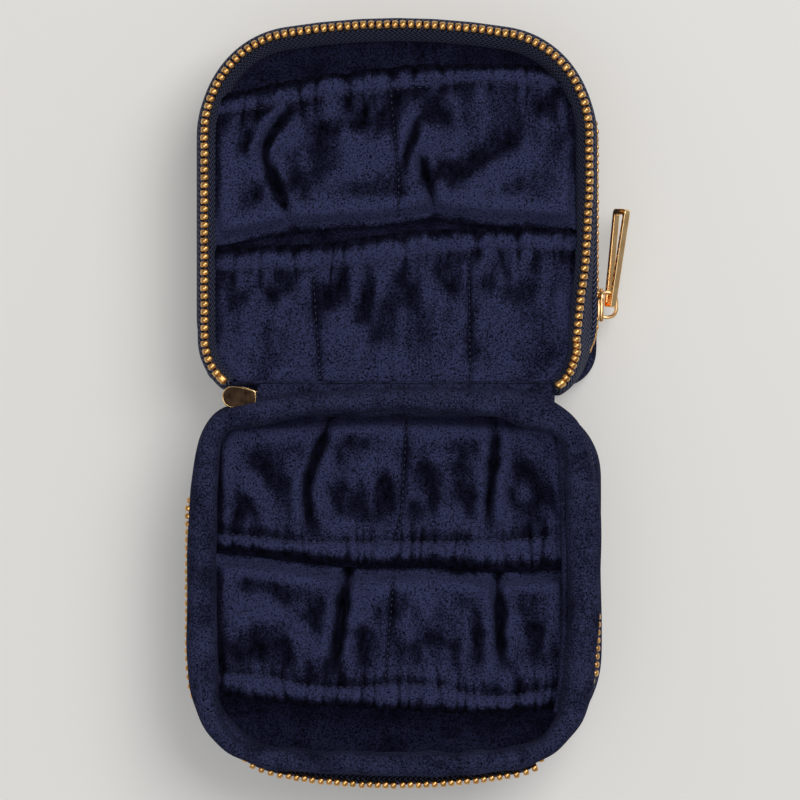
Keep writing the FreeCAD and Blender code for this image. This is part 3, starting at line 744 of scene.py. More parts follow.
def all_teeth():
    """The four rows. Those of one zip are half a tooth apart, so that they would mesh."""
    zip_two = second_zip_path(0.5)
    zip_one = tray_path(FIRST_ZIP_INSET, 0.5)
    cover_row = open_path(FIRST_ZIP_INSET, ROW_END, ROW_END, 0.5)
    for name, body, side, path, upright, shift, offset_at, size in (
        ("zip2_lower", "back_cover", RAISED, zip_two, 1, 0.0, None, 1.0),
        ("zip2_upper", "middle_tray", RAISED, zip_two, -1, 0.5, None, 1.0),
        ("zip1_upper", "middle_tray", RAISED, zip_one, 1, 0.0, leant, 1.2),
        ("zip1_lower", "front_cover", FRONT, cover_row, 1, 0.5, loose, 1.15),
    ):
        foot = (LOW if upright == 1 else HIGH)[name + "_teeth"].z
        row = tooth_row(name + "_row", side, path, foot, upright, shift, offset_at, size)
        finish_piece(row, body, TEETH_GOLD, "zip_metal", name + "_teeth", name + "_stops")
        if side == FRONT:
            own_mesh(row)


# ------------------------------------------------------------------ padded rim

# Outer and inner edge of the roll as (x, v), from the middle of the hinge side round by the left.
RIM = [
    ((3.4, -5.6), (3.4, 0.4)), ((-8.0, -5.2), (-8.0, 0.4)),
    ((-17.4, -4.8), (-16.5, 0.6)), ((-24.4, -4.6), (-24.4, 1.3)),
    ((-30.4, -4.0), (-30.4, 3.2)), ((-35.6, -3.1), (-35.0, 4.4)),
    ((-40.8, -1.5), (-39.2, 4.7)), ((-45.6, -0.6), (-43.0, 4.9)),
    ((-48.6, 2.2), (-45.2, 6.2)), ((-51.2, 7.1), (-45.9, 9.6)),
    ((-52.5, 13.2), (-46.4, 14.0)), ((-53.8, 21.0), (-46.8, 24.0)),
    ((-54.3, 39.2), (-47.1, 42.0)), ((-54.6, 60.0), (-46.8, 60.0)),
    ((-53.8, 73.0), (-46.3, 75.0)), ((-50.2, 82.9), (-45.0, 82.0)),
    ((-43.9, 89.4), (-40.7, 86.4)), ((-33.0, 93.5), (-29.8, 88.0)),
    ((-17.4, 94.3), (-14.2, 89.0)), ((3.4, 95.3), (3.4, 89.1)),
    ((19.0, 94.8), (17.4, 89.1)), ((32.0, 93.3), (29.1, 88.1)),
    ((41.3, 89.1), (37.9, 85.7)), ((48.1, 81.3), (41.9, 79.0)),
    ((51.2, 71.7), (43.4, 68.8)), ((52.5, 54.8), (44.6, 53.2)),
    ((53.0, 36.6), (44.3, 36.6)), ((52.8, 25.3), (43.9, 24.0)),
    ((51.5, 16.6), (43.4, 14.0)), ((49.6, 8.6), (42.9, 8.4)),
    ((46.7, 2.4), (41.0, 6.4)), ((41.6, -1.6), (36.8, 5.6)),
    ((36.3, -4.6), (31.8, 4.0)), ((28.0, -5.4), (27.0, 1.8)),
    ((17.0, -5.6), (15.1, 0.8)),
]


def rim_edges(count):
    """The roll's outer and inner edges as smooth closed rings of points."""
    stations = np.array(RIM, float).reshape(-1, 4)
    looped = np.vstack([stations, stations[:1]])
    ring = resample(looped, count=count + 1)[:-1]
    for _ in range(3):
        ring = (np.roll(ring, 1, 0) + 2 * ring + np.roll(ring, -1, 0)) / 4
    return ring[:, :2], ring[:, 2:]


RIM_COUNT = 240
RIM_MIDDLE = sum(rim_edges(RIM_COUNT)) / 2


def rim_roll():
    """The padded velvet roll round the front cover's mouth, fuller at the far side."""
    count = RIM_COUNT
    round_points = 24
    outer, inner = rim_edges(count)
    lumps = wave_round(0.6, 33, lowest=16, count=22)
    swell = wave_round(0.35, 31, lowest=5, count=12)
    points = []
    for i in range(count):
        t = i / count
        near = smooth_step((8.0 - outer[i][1]) / 8.0)
        far = smooth_step((inner[i][1] - 84.0) / 5.0)
        across = outer[i] - inner[i]
        width = np.linalg.norm(across)
        across /= width
        inner_edge = inner[i] - across * (0.3 + lumps(t) * (0.25 + 0.9 * far + 0.4 * near))
        outer_edge = outer[i] + across * (swell(t) * 0.5 + 0.5 * far * lumps(t + 0.37))
        middle = (inner_edge + outer_edge) / 2
        half = np.linalg.norm(outer_edge - inner_edge) / 2
        crown = 5.2 + 0.3 * swell(t + 0.3) + 0.35 * lumps(t + 0.1) * (far + near)
        for k in range(round_points):
            angle = 2 * math.pi * k / round_points
            c, s = math.cos(angle), math.sin(angle)
            out = half * math.copysign(abs(c) ** 0.72, c)
            up = crown * abs(s) ** 0.85 if s > 0 else -(7.5 - 4.4 * near) * abs(s) ** 0.6
            x, v = middle + across * out
            spot = Vector((x * 0.16, v * 0.16, 7.0 + up * 0.1))
            puff = 0.55 * noise.noise(spot) * (1.0 if s > 0 else 0.0)
            points.append((x, v, 24.4 + up + puff))
    faces = grid_faces(count, round_points, True, True)
    piece = subdivide(new_object("rim_roll_velvet", to_world(FRONT, points), faces))
    finish_piece(piece, "front_cover", VELVET, "velvet", "rim_roll", "rim_core")
    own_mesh(piece)
    return piece


# ------------------------------------------------------------------ hinge side

def piping():
    """A narrow velvet piping between the cover's pockets and its rim, on the right."""
    line = [
        (42.4, 6.5), (43.1, 14.0), (43.4, 30.0), (43.8, 46.0), (43.6, 60.0), (42.6, 72.0),
        (41.4, 79.0),
    ]
    section = [(-1.0, 21.5), (-1.0, 23.6), (-0.5, 24.6), (0.2, 24.8), (0.8, 24.2), (1.0, 21.5)]
    piece = subdivide(loft("cover_piping", FRONT, resample(line, spacing=1.5), section))
    finish_piece(piece, "front_cover", VELVET, "velvet")


def spine_wall():
    """The velvet wall along the tray's hinge side."""
    low, high = LOW["spine_wall"], HIGH["spine_wall"]
    section = [
        (0.0, low.z), (-0.25, 8.0), (0.1, 16.0), (0.0, high.z - 0.4), (0.5, high.z),
        (1.0, high.z - 0.4), (1.1, 12.0), (1.0, low.z),
    ]
    rows = 60
    points = []
    for x in np.linspace(low.x, high.x, rows):
        lean = 0.25 * noise.noise(Vector((x * 0.1, 3.0, 0.0)))
        for v, z in section:
            points.append((x, v + lean * smooth_step((z - 4) / 10), z))
    faces = tube_faces(rows, len(section))
    piece = subdivide(new_object("spine_wall_velvet", to_world(RAISED, points), faces))
    finish_piece(piece, "middle_tray", VELVET, "velvet", "spine_wall")


def hinge_strip(name, low_x, high_x, near_y, far_y, foot, top, nodes, sag):
    """A velvet strip across the gap between two layers."""
    columns = 11
    rows = 56
    xs = np.linspace(low_x, high_x, rows)
    points = []
    for x in xs:
        ripple = 0.3 * noise.noise(Vector((x * 0.16, 1.0, 2.0)))
        for side in (1, -1):
            for k in range(columns):
                t = k / (columns - 1) if side == 1 else 1 - k / (columns - 1)
                y = near_y + (far_y - near_y) * t
                dip = sag * math.sin(math.pi * t) + ripple * math.sin(math.pi * t)
                z = (top if side == 1 else foot) - dip
                points.append((x * MM, y * MM, z * MM))
    piece = subdivide(new_object(name, points, tube_faces(rows, 2 * columns)))
    finish_piece(piece, None, VELVET, "velvet", *nodes)
    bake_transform(piece)


def hinge_strips():
    """The strips that join the tray to the front cover and the back cover to the tray."""
    strip = LOW["front_hinge_strip"]
    hinge_strip(
        "front_hinge_velvet", strip.x - 2.4, HIGH["front_hinge_strip"].x - 3.0, RAISED_EDGE + 0.2,
        FRONT_EDGE - 1.2, WALL_TOP, HIGH["front_hinge_strip"].z - 0.2,
        ("front_hinge_strip",), 0.5,
    )
    hinge_strip(
        "back_hinge_velvet", LOW["back_hinge_strip"].x, HIGH["back_hinge_strip"].x,
        RAISED_EDGE + 0.8, LOW["back_hinge_strip"].y, LOW["back_hinge_strip"].z + 0.05,
        HIGH["back_hinge_strip"].z, ("back_hinge_strip",), 0.0,
    )


# ------------------------------------------------------------------ gathered pockets

# start, stitch and mouth are curves of (x, v) points: a tier's sewn bottom, its hem's stitch
# line and its free edge. bottom, puff and edge are heights above the floor, at the sewn
# bottom, the belly and the sides. inset, near_shift and shift place the sides. pitch and
# pucker are the spacing and depth of the hem's gathers. creases are sharp folds and valleys
# soft ones, each (points, depth, width), and a negative depth is a ridge. seams are where
# pockets are sewn apart.
TIERS = {
    "tray_near": {
        "side": RAISED, "body": "middle_tray", "floor": TRAY_FLOOR, "inset": 4.6,
        "near_shift": -5.0, "shift": -0.6, "seed": 3, "pitch": 4.4, "pucker": 0.8,
        "puff": 6.2, "bottom": 5.6, "edge": 5.0,
        "nodes": ("tray_near_pocket", "tray_near_elastic"),
        "start": [(-46, 0.5), (0, 0.3), (46, 0.5)],
        "stitch": [
            (-46, 29.4), (-33, 29.8), (-20, 30.3), (-7, 31.2), (6, 33.6), (24, 35.4), (46, 34.6),
        ],
        "mouth": [(-46, 36.3), (-22, 36.6), (4, 40.2), (25, 41.0), (46, 40.8)],
        "seams": [[(-21.9, 29.4), (-19.8, -0.5)], [(18.7, 34.5), (19.1, 0.5)]],
        "creases": [],
        "valleys": [
            ([(-36.3, 29.4), (-29.8, 20.5)], 1.7, 1.8), ([(-31.9, 30.1), (-27.1, 23.9)], 1.2, 1.4),
            ([(-43.6, 28.8), (-38.8, 19.8)], 1.2, 1.6), ([(-19.5, 29.4), (-18.5, 17.7)], 2.0, 2.2),
            ([(-14.0, 29.8), (-15.4, 20.5)], 1.2, 1.5), ([(-7.1, 30.8), (-11.2, 13.6)], 1.4, 1.5),
            ([(1.8, 32.5), (2.5, 18.4)], 2.0, 2.4), ([(9.4, 33.5), (16.3, 21.9)], 1.6, 1.8),
            ([(25.2, 34.9), (22.5, 21.9)], 1.4, 1.7), ([(34.2, 34.6), (30.0, 19.1)], 1.5, 1.9),
            ([(-8.0, 12.0), (4.0, 8.0), (16.0, 9.0)], -0.8, 4.0),
        ],
    },
    "tray_far": {
        "side": RAISED, "body": "middle_tray", "floor": TRAY_FLOOR, "inset": 4.9,
        "near_shift": -5.0, "shift": -0.6, "seed": 5, "pitch": 5.0, "pucker": 0.7,
        "puff": 6.8, "bottom": 2.6, "edge": 5.0,
        "nodes": ("tray_far_pocket", "tray_far_elastic"),
        "start": [(-46, 36.2), (-28, 39.9), (-3, 41.4), (10, 43.7), (16, 42.1), (46, 40.2)],
        "stitch": [(-46, 70.1), (-22, 74.5), (-2, 76.6), (22, 79.0), (46, 77.0)],
        "mouth": [(-46, 75.5), (-22, 80.5), (6, 83.6), (35, 83.4), (46, 81.3)],
        "seams": [[(-1.6, 76.0), (0.5, 54.0), (0.4, 44.0)]],
        "creases": [
            ([(-28.4, 72.1), (-35.7, 61.8), (-27.4, 41.5)], 2.6, 1.1),
            ([(6.0, 70.7), (2.5, 61.8), (1.2, 54.9)], 1.8, 1.0),
            ([(6.0, 60.5), (10.1, 45.0)], 2.4, 1.1),
        ],
        "valleys": [
            ([(-31.0, 62.0), (-25.0, 49.4)], 2.2, 3.6),
            ([(-19.5, 72.1), (-18.8, 56.3), (-22.9, 50.1)], 2.0, 2.8),
            ([(-9.9, 74.5), (-7.8, 65.9)], 1.6, 2.0), ([(-3.0, 75.6), (-4.3, 61.8)], 1.2, 1.8),
            ([(6.0, 62.5), (12.9, 55.6), (22.5, 60.4), (33.5, 66.3)], 2.6, 3.0),
            ([(7.4, 75.6), (12.2, 70.7), (16.3, 72.1)], 1.8, 2.6),
            ([(13.6, 48.0), (26.6, 59.0), (43.8, 62.5)], -1.4, 3.0),
            ([(-13.0, 68.0), (-11.0, 52.0)], -1.2, 4.0), ([(-38.8, 50.8), (-29.8, 57.0)], 1.2, 2.4),
            ([(-42.0, 61.8), (-34.6, 68.7)], 0.9, 2.0),
            ([(19.0, 47.5), (30.0, 53.5), (43.8, 55.0)], 0.9, 2.2),
            ([(27.0, 78.0), (30.0, 70.0)], 1.0, 1.8), ([(37.0, 77.5), (39.5, 68.0)], 1.2, 1.8),
        ],
    },
    "cover_near": {
        "side": FRONT, "body": "front_cover", "floor": COVER_FLOOR, "inset": 6.0,
        "near_shift": -4.0, "shift": -1.4, "seed": 7, "pitch": 2.9, "pucker": 1.0,
        "puff": 12.4, "bottom": 7.4, "edge": 9.6,
        "nodes": ("cover_near_pocket", "cover_near_elastic"),
        "start": [(-45, 1.8), (0, 0.2), (45, 1.8)],
        "stitch": [(-45, 32.2), (-24, 34.5), (0, 34.5), (27, 34.2), (45, 32.7)],
        "mouth": [(-45, 36.6), (-29, 38.4), (-12, 40.7), (11, 40.5), (26, 42.0), (45, 40.5)],
        "seams": [[(2.7, 0.0), (1.3, 26.2), (-0.5, 34.2)]],
        "creases": [
            ([(-16.7, 0.5), (-24.1, 20.6), (-22.7, 33.3)], 2.8, 1.1),
            ([(26.3, 1.0), (23.8, 23.4), (23.1, 32.0)], 2.8, 1.1),
        ],
        "valleys": [
            ([(-38.9, 13.5), (-31.2, 20.6), (-28.3, 32.8)], 1.8, 2.6),
            ([(-38.9, 22.7), (-38.9, 32.0)], 1.2, 1.5),
            ([(-13.5, 5.8), (-10.0, 10.0), (-3.0, 8.6)], 1.2, 2.4),
            ([(-17.8, 19.9), (-12.8, 33.0)], 1.5, 1.8),
            ([(-10.0, 24.1), (-8.6, 33.5)], 1.2, 1.4), ([(-3.7, 15.6), (-4.4, 33.5)], 1.4, 1.8),
            ([(6.9, 13.5), (9.7, 23.4), (9.4, 33.5)], 1.8, 1.9),
            ([(15.4, 13.5), (15.4, 33.0)], 1.8, 1.9),
            ([(19.6, 20.6), (19.6, 33.0)], 1.3, 1.4),
            ([(29.5, 13.5), (36.5, 22.0), (40.0, 31.5)], 1.8, 2.2),
            ([(28.0, 19.2), (31.6, 31.0)], 1.2, 1.4), ([(4.0, 24.0), (5.0, 33.0)], 1.0, 1.3),
            ([(34.5, 24.0), (36.0, 32.0)], 1.0, 1.3),
        ],
    },
    "cover_far": {
        "side": FRONT, "body": "front_cover", "floor": COVER_FLOOR, "inset": 6.2,
        "near_shift": -4.0, "shift": -1.4, "seed": 9, "pitch": 3.1, "pucker": 0.9,
        "puff": 11.6, "bottom": 7.6, "edge": 9.4,
        "nodes": ("cover_far_pocket", "cover_far_elastic"),
        "start": [(-45, 37.6), (-29, 39.4), (-12, 41.6), (11, 41.4), (26, 42.8), (45, 41.4)],
        "stitch": [
            (-45, 68.6), (-33, 69.3), (-25, 71.7), (-12, 72.5), (-1, 71.2), (10, 71.7),
            (19, 74.0), (27, 75.1), (35, 73.5), (45, 71.9),
        ],
        "mouth": [(-45, 74.8), (-28, 77.1), (-4, 78.2), (19, 79.5), (45, 77.9)],
        "seams": [[(-0.9, 42.0), (-1.2, 48.8), (-3.0, 70.0)]],
        "creases": [
            ([(-12.5, 41.0), (-16.9, 68.5)], 3.8, 1.3), ([(25.9, 42.5), (27.0, 68.0)], 3.2, 1.2),
        ],
        "valleys": [
            ([(-42.4, 44.5), (-31.9, 48.8), (-25.0, 46.5)], 1.6, 2.8),
            ([(-23.4, 52.3), (-18.5, 63.9)], 2.2, 2.8),
            ([(-42.4, 57.9), (-37.5, 53.7), (-29.0, 52.5)], -1.4, 2.6),
            ([(-36.0, 62.0), (-35.0, 69.0)], 1.3, 1.6),
            ([(-29.0, 60.0), (-28.0, 70.0)], 1.3, 1.6), ([(-41.0, 63.0), (-41.0, 68.5)], 1.2, 1.5),
            ([(-10.0, 44.5), (-3.0, 46.0)], 1.3, 2.4), ([(-10.0, 57.2), (-9.3, 71.5)], 1.8, 2.3),
            ([(3.4, 46.0), (22.4, 47.4)], 1.4, 2.4), ([(3.0, 61.0), (4.0, 71.0)], 1.3, 1.6),
            ([(8.5, 58.0), (9.5, 71.0)], 1.4, 1.7), ([(14.5, 60.0), (15.0, 72.0)], 1.2, 1.5),
            ([(20.5, 56.0), (20.5, 73.0)], 1.5, 1.8), ([(31.6, 46.0), (28.5, 60.0)], 1.4, 2.2),
            ([(36.5, 55.8), (33.0, 71.0)], 1.8, 2.2), ([(41.0, 62.0), (39.0, 71.5)], 1.2, 1.5),
        ],
    },
}

# The grid that is let go, and how many times finer the finished cloth is.
COLUMNS = 93
PANEL_ROWS = 28
HEM_ROWS = 6
REFINE = 3

# How much wider the cloth is cut than its room, at the hem and the bottom, and how much longer.
HEM_FULLNESS = 1.32
START_FULLNESS = 1.06
SLACK = 1.08

# The panel settles in units of a centimetre.
CLOTH_SCALE = 0.1
LAST_FRAME = 36
TIER_HALF = 46.0

# Valleys are pressed in shallower and broader than they are listed.
VALLEY_DEPTH = 0.85
VALLEY_WIDTH = 1.45
SEAM_DEPTH = 1.1
SEAM_WIDTH = 0.7

# Thickness of the cloth, and how much more its doubled hem has.
CLOTH_THICK = 0.6
HEM_THICK = 0.9


def along_curve(curve, x):
    """A curve's v at places x, with its corners rounded off."""
    curve = np.array(curve, float)
    reach = np.linspace(-2.5, 2.5, 7)
    return sum(np.interp(x + step, curve[:, 0], curve[:, 1]) for step in reach) / len(reach)


def distance_to(points, x, v):
    """Distance of every (x, v) from a polyline, and the share along it of the nearest place."""
    points = resample(points, count=14)
    for _ in range(2):
        points[1:-1] = (points[:-2] + 2 * points[1:-1] + points[2:]) / 4
    best = np.full(x.shape, 1e9)
    share = np.zeros(x.shape)
    for number, (a, b) in enumerate(zip(points, points[1:])):
        d = b - a
        t = np.clip(((x - a[0]) * d[0] + (v - a[1]) * d[1]) / (d @ d), 0, 1)
        away = np.hypot(x - a[0] - d[0] * t, v - a[1] - d[1] * t)
        nearer = away < best
        best = np.where(nearer, away, best)
        share = np.where(nearer, (number + t) / (len(points) - 1), share)
    return best, share


def noise_grid(x, v, scale_x, scale_v, seed):
    """Seeded smooth noise at every (x, v)."""
    flat = [
        noise.noise(Vector((a * scale_x, b * scale_v, seed)))
        for a, b in zip(x.ravel(), v.ravel())
    ]
    return np.array(flat).reshape(x.shape)


def tier_grid(tier):
    """The gathered panel before it is let go.

    Returns x, v and z, which points are sewn, and w, which is 0 at the bottom, 1 at the
    stitch line and 2 at the free edge.
    """
    u = np.linspace(-1, 1, COLUMNS)[None, :]
    hem_steps = 1 + np.linspace(0, 1, HEM_ROWS)[1:]
    w = np.concatenate([np.linspace(0, 1, PANEL_ROWS), hem_steps])[:, None]
    x = u * TIER_HALF + 0 * w
    w = w + 0 * x
    for _ in range(3):
        start = along_curve(tier["start"], x)
        stitch = along_curve(tier["stitch"], x)
        mouth = along_curve(tier["mouth"], x)
        hem_v = stitch + (mouth - stitch) * (w - 1)
        v = np.where(w <= 1, start + (stitch - start) * w, hem_v)
        x = u * half_width_at(v, tier["inset"], tier["near_shift"]) + tier["shift"]
    belly = smooth_step((w - 0.02) / 0.12) * (1 - 0.30 * smooth_step((w - 0.4) / 0.6))
    height = tier["bottom"] + (tier["puff"] - tier["bottom"]) * belly
    height += 0.6 * noise_grid(x, v, 0.10, 0.06, tier["seed"])
    height += 0.9 * noise_grid(x, v, 0.30, 0.07, tier["seed"] + 20) * smooth_step((w - 0.15) / 0.7)
    sides = smooth_step((1 - np.abs(u)) / 0.06)
    height = tier["edge"] + (height - tier["edge"]) * sides
    source = np.random.RandomState(tier["seed"])
    height += source.normal(0, 0.03, x.shape) * sides
    sewn = (w < 1e-6) | (np.abs(u) > 1 - 1e-6) | (w > 1 - 1e-6)
    return x, v, height + tier["floor"], sewn, w


def cut_panel(tier, x, v, z, w):
    """The cloth as it was cut: wider than its room, most of all at the hem, and longer."""
    cut = np.stack([x, v - float(along_curve(tier["start"], 0.0)), z - tier["floor"]], -1)
    cut[..., 0] *= START_FULLNESS + (HEM_FULLNESS - START_FULLNESS) * np.clip(w, 0, 1) ** 1.5
    cut[..., 1] *= SLACK
    cut[..., 2] *= 0.5
    return cut


def cut_size(cut):
    """The cut's greatest width and length, and its area."""
    across = np.diff(cut, axis=1)
    along = np.diff(cut, axis=0)
    width = np.linalg.norm(across, axis=-1).sum(1).max()
    length = np.linalg.norm(along, axis=-1).sum(0).max()
    area = np.linalg.norm(np.cross(across[:-1], along[:, :-1]), axis=-1).sum()
    return width, length, area


def simulate(name, tier, x, v, z, sewn, cut):
    """Lets the gathered panel buckle from its cut size into its room."""
    middle = float(along_curve(tier["start"], 0.0))
    points = np.stack([x, v - middle, z - tier["floor"]], -1) * CLOTH_SCALE
    cut = cut * CLOTH_SCALE
    mesh = bpy.data.meshes.new(name + "_panel")
    mesh.from_pydata([tuple(p) for p in points.reshape(-1, 3)], [], grid_faces(*x.shape))
    panel = bpy.data.objects.new(name + "_panel", mesh)
    scene = bpy.context.scene
    scene.collection.objects.link(panel)
    panel.shape_key_add(name="Basis")
    rest = panel.shape_key_add(name="Cut")
    rest.data.foreach_set("co", cut.ravel())
    rest.value = 0.0
    group = panel.vertex_groups.new(name="sewn")
    group.add([int(i) for i in np.flatnonzero(sewn.ravel())], 1.0, "REPLACE")
    modifier = panel.modifiers.new("cloth", "CLOTH")
    settings = modifier.settings
    settings.quality = 6
    settings.mass = 0.25
    settings.tension_stiffness = 22
    settings.compression_stiffness = 22
    settings.shear_stiffness = 8
    settings.bending_stiffness = 0.8
    settings.tension_damping = 12
    settings.compression_damping = 12
    settings.shear_damping = 8
    settings.air_damping = 2.0
    settings.vertex_group_mass = "sewn"
    settings.rest_shape_key = rest
    settings.effector_weights.gravity = 0.05
    modifier.collision_settings.use_collision = False
    modifier.point_cache.frame_start = 1
    modifier.point_cache.frame_end = LAST_FRAME
    for frame_number in range(1, LAST_FRAME + 1):
        scene.frame_set(frame_number)
    graph = bpy.context.evaluated_depsgraph_get()
    settled = bpy.data.meshes.new_from_object(panel.evaluated_get(graph))
    result = np.zeros(len(settled.vertices) * 3)
    settled.vertices.foreach_get("co", result)
    scene.frame_set(1)
    bpy.data.objects.remove(panel)
    bpy.data.meshes.remove(mesh)
    bpy.data.meshes.remove(settled)
    result = result.reshape(*x.shape, 3) / CLOTH_SCALE
    return result[..., 0], result[..., 1] + middle, result[..., 2] + tier["floor"]


def refined(grid):
    """A grid with REFINE times as many steps each way, smoothly filled in between."""
    for axis in (0, 1):
        count = grid.shape[axis]
        spots = np.linspace(0, count - 1, (count - 1) * REFINE + 1)
        low = np.minimum(spots.astype(int), count - 2)
        t = spots - low
        t = t[:, None] if axis == 0 else t[None, :]
        a, b, c, d = (
            np.take(grid, np.clip(low + step, 0, count - 1), axis) for step in (-1, 0, 1, 2)
        )
        bend = (2 * a - 5 * b + 4 * c - d) * t + (3 * b - a - 3 * c + d) * t * t
        grid = b + 0.5 * t * (c - a + bend)
    return grid


def fold(x, v, z, points, depth, width, sharp):
    """Presses one fold into the cloth. A sharp one also laps a little over its left side."""
    away, share = distance_to(points, x, v)
    fade = smooth_step(share / 0.3 + 0.3) * smooth_step((1 - share) / 0.5 + (0.3 if sharp else 0))
    away = away * (1 + 0.35 * noise_grid(x, v, 0.3, 0.3, 5.0))
    z = z - depth * fade * np.exp(-(away / width) ** 2)
    if sharp:
        z = z + 0.4 * depth * fade * np.exp(-((away - 2.6 * width) / (1.5 * width)) ** 2)
    return z


def puckers(x, v, tier):
    """Near 0 on the lobes of a gathered hem and up to 1.3 in the creases between them."""
    drift = noise_grid(x, v, 0.13, 0.05, tier["seed"] + 60)
    size = noise_grid(x, v, 0.26, 0.04, tier["seed"] + 80)
    turn = np.abs(np.sin(np.pi * (x / tier["pitch"] + 1.1 * drift)))
    return np.exp(-(turn / 0.36) ** 2) * np.clip(0.7 + 1.3 * size, 0.1, 1.3)


def painted_crease_shade(x, v, tier):
    """How much painted shade darkens the cloth along the seams and sharp folds."""
    dark = np.zeros(x.shape)
    for points in tier["seams"]:
        away, share = distance_to(points, x, v)
        dark = np.maximum(dark, 0.95 * np.exp(-(away / 0.5) ** 2) * smooth_step(share / 0.06))
    for points, *_ in tier["creases"]:
        away, share = distance_to(points, x, v)
        along = smooth_step(share / 0.1) * smooth_step((1 - share) / 0.15)
        dark = np.maximum(dark, np.exp(-(away / 0.55) ** 2) * along)
    return dark


def pocket_tier(name, tier):
    """One gathered tier as a closed cloth, with its folds, hem and stitches."""
    x, v, z, sewn, w = tier_grid(tier)
    cut = cut_panel(tier, x, v, z, w)
    x, v, z = simulate(name, tier, x, v, z, sewn, cut)
    x, v, z, w = (refined(grid) for grid in (x, v, z, w))
    for points, depth, width in tier["valleys"]:
        z = fold(x, v, z, points, VALLEY_DEPTH * depth, VALLEY_WIDTH * width, False)
    for points, depth, width in tier["creases"]:
        z = fold(x, v, z, points, depth, width, True)
    for points in tier["seams"]:
        z = fold(x, v, z, points, SEAM_DEPTH, SEAM_WIDTH, False)
    # The hem is a double band with puckers, which run on into the cloth below its stitches.
    hem = smooth_step((w - 0.98) / 0.08)
    band = np.clip(w - 1, 0, 1)
    below = np.exp(-(np.clip(1 - w, 0, 1) / 0.13) ** 2)
    creased = puckers(x, v, tier) * np.where(w > 1, 1.0, below)
    stitched = np.exp(-((w - 1) / 0.035) ** 2)
    z = z - tier["pucker"] * creased - 0.6 * stitched
    z = z + hem * 0.75 * np.sin(np.pi * band) - 0.9 * smooth_step((band - 0.75) / 0.25)
    v = v - 0.55 * creased * band ** 2
    z = np.maximum(z, tier["floor"] + 0.5)
    top = np.stack([x, v, z], -1)
    normal = np.cross(np.gradient(top, axis=1), np.gradient(top, axis=0))
    normal /= np.linalg.norm(normal, axis=-1)[..., None]
    normal *= np.sign(normal[..., 2:3])
    thick = CLOTH_THICK + HEM_THICK * hem * (1 - 0.6 * smooth_step((band - 0.8) / 0.2))
    under = top - normal * thick[..., None]
    under[..., 2] = np.maximum(under[..., 2], tier["floor"] + 0.15)
    rows, columns = x.shape
    shift = rows * columns
    faces = grid_faces(rows, columns) + grid_faces(rows, columns, first=shift)
    rim = [(0, j) for j in range(columns)] + [(i, columns - 1) for i in range(1, rows)]
    rim += [(rows - 1, j) for j in range(columns - 2, -1, -1)]
    rim += [(i, 0) for i in range(rows - 2, 0, -1)]
    ids = [i * columns + j for i, j in rim]
    faces += [(a, b, b + shift, a + shift) for a, b in zip(ids, ids[1:] + ids[:1])]
    points = np.concatenate([top.reshape(-1, 3), under.reshape(-1, 3)])
    piece = new_object(name + "_cloth", to_world(tier["side"], points), faces)
    nap = nap_and_painted_light(top, normal, w, tier)
    # Painted shade in the hem's pucker creases and along its stitch line.
    nap -= 0.40 * np.clip(creased, 0, 1) + 0.25 * stitched
    nap = 1 / (1 + np.exp(-6.0 * (nap - 0.48)))
    # Painted shade along the seams and sharp folds.
    store_nap_and_shade(piece, nap * (1 - 0.9 * painted_crease_shade(x, v, tier)))
    finish_piece(piece, tier["body"], GATHERED_SHADED, "lining", *tier["nodes"])
    width, length, area = cut_size(cut)
    stitches(name, tier, top)


def smoothed(values, times):
    """Values of a grid averaged with their neighbours."""
    for _ in range(times):
        wide = np.pad(values, 1, mode="edge")
        values = (wide[:-2, 1:-1] + wide[2:, 1:-1] + wide[1:-1, :-2] + wide[1:-1, 2:]) / 4
    return values


def nap_and_painted_light(top, normal, w, tier):
    """How light the gathered cloth is coloured: painted light on slopes that face the sewn bottom
    and on those that face +x, painted shade in the hollows, random patches, lighter towards the
    sewn bottom and a little lighter on the hem.
    """
    x, v, z = (top[..., k] for k in range(3))
    hollow = smoothed(z, 150) - smoothed(z, 12)
    lean_v = smoothed(normal[..., 1], 16)
    lean_x = smoothed(normal[..., 0], 10)
    # Painted light on slopes that face the sewn bottom and +x, painted shade in the hollows.
    lie = 0.45 - 1.25 * lean_v + 0.42 * lean_x - 0.46 * hollow
    lie += 0.34 * noise_grid(x, v, 0.10, 0.07, tier["seed"] + 40)
    lie += 0.20 * noise_grid(x, v, 0.40, 0.20, tier["seed"] + 50)
    # Lighter towards the sewn bottom and darker towards the hem.
    lie += 0.24 * (0.45 - np.clip(w, 0, 1))
    return lie + 0.10 * smooth_step((w - 0.98) / 0.1)


def store_nap_and_shade(piece, nap):
    """Stores the lie of the pile, with its painted light and painted shade, on both faces of a
    cloth.
    """
    values = np.concatenate([nap.ravel(), nap.ravel()]).astype(np.float32)
    # The "nap" attribute carries painted light and painted shade as well as the pile's lie.
    layer = piece.data.attributes.new("nap", "FLOAT", "POINT")
    layer.data.foreach_set("value", values)


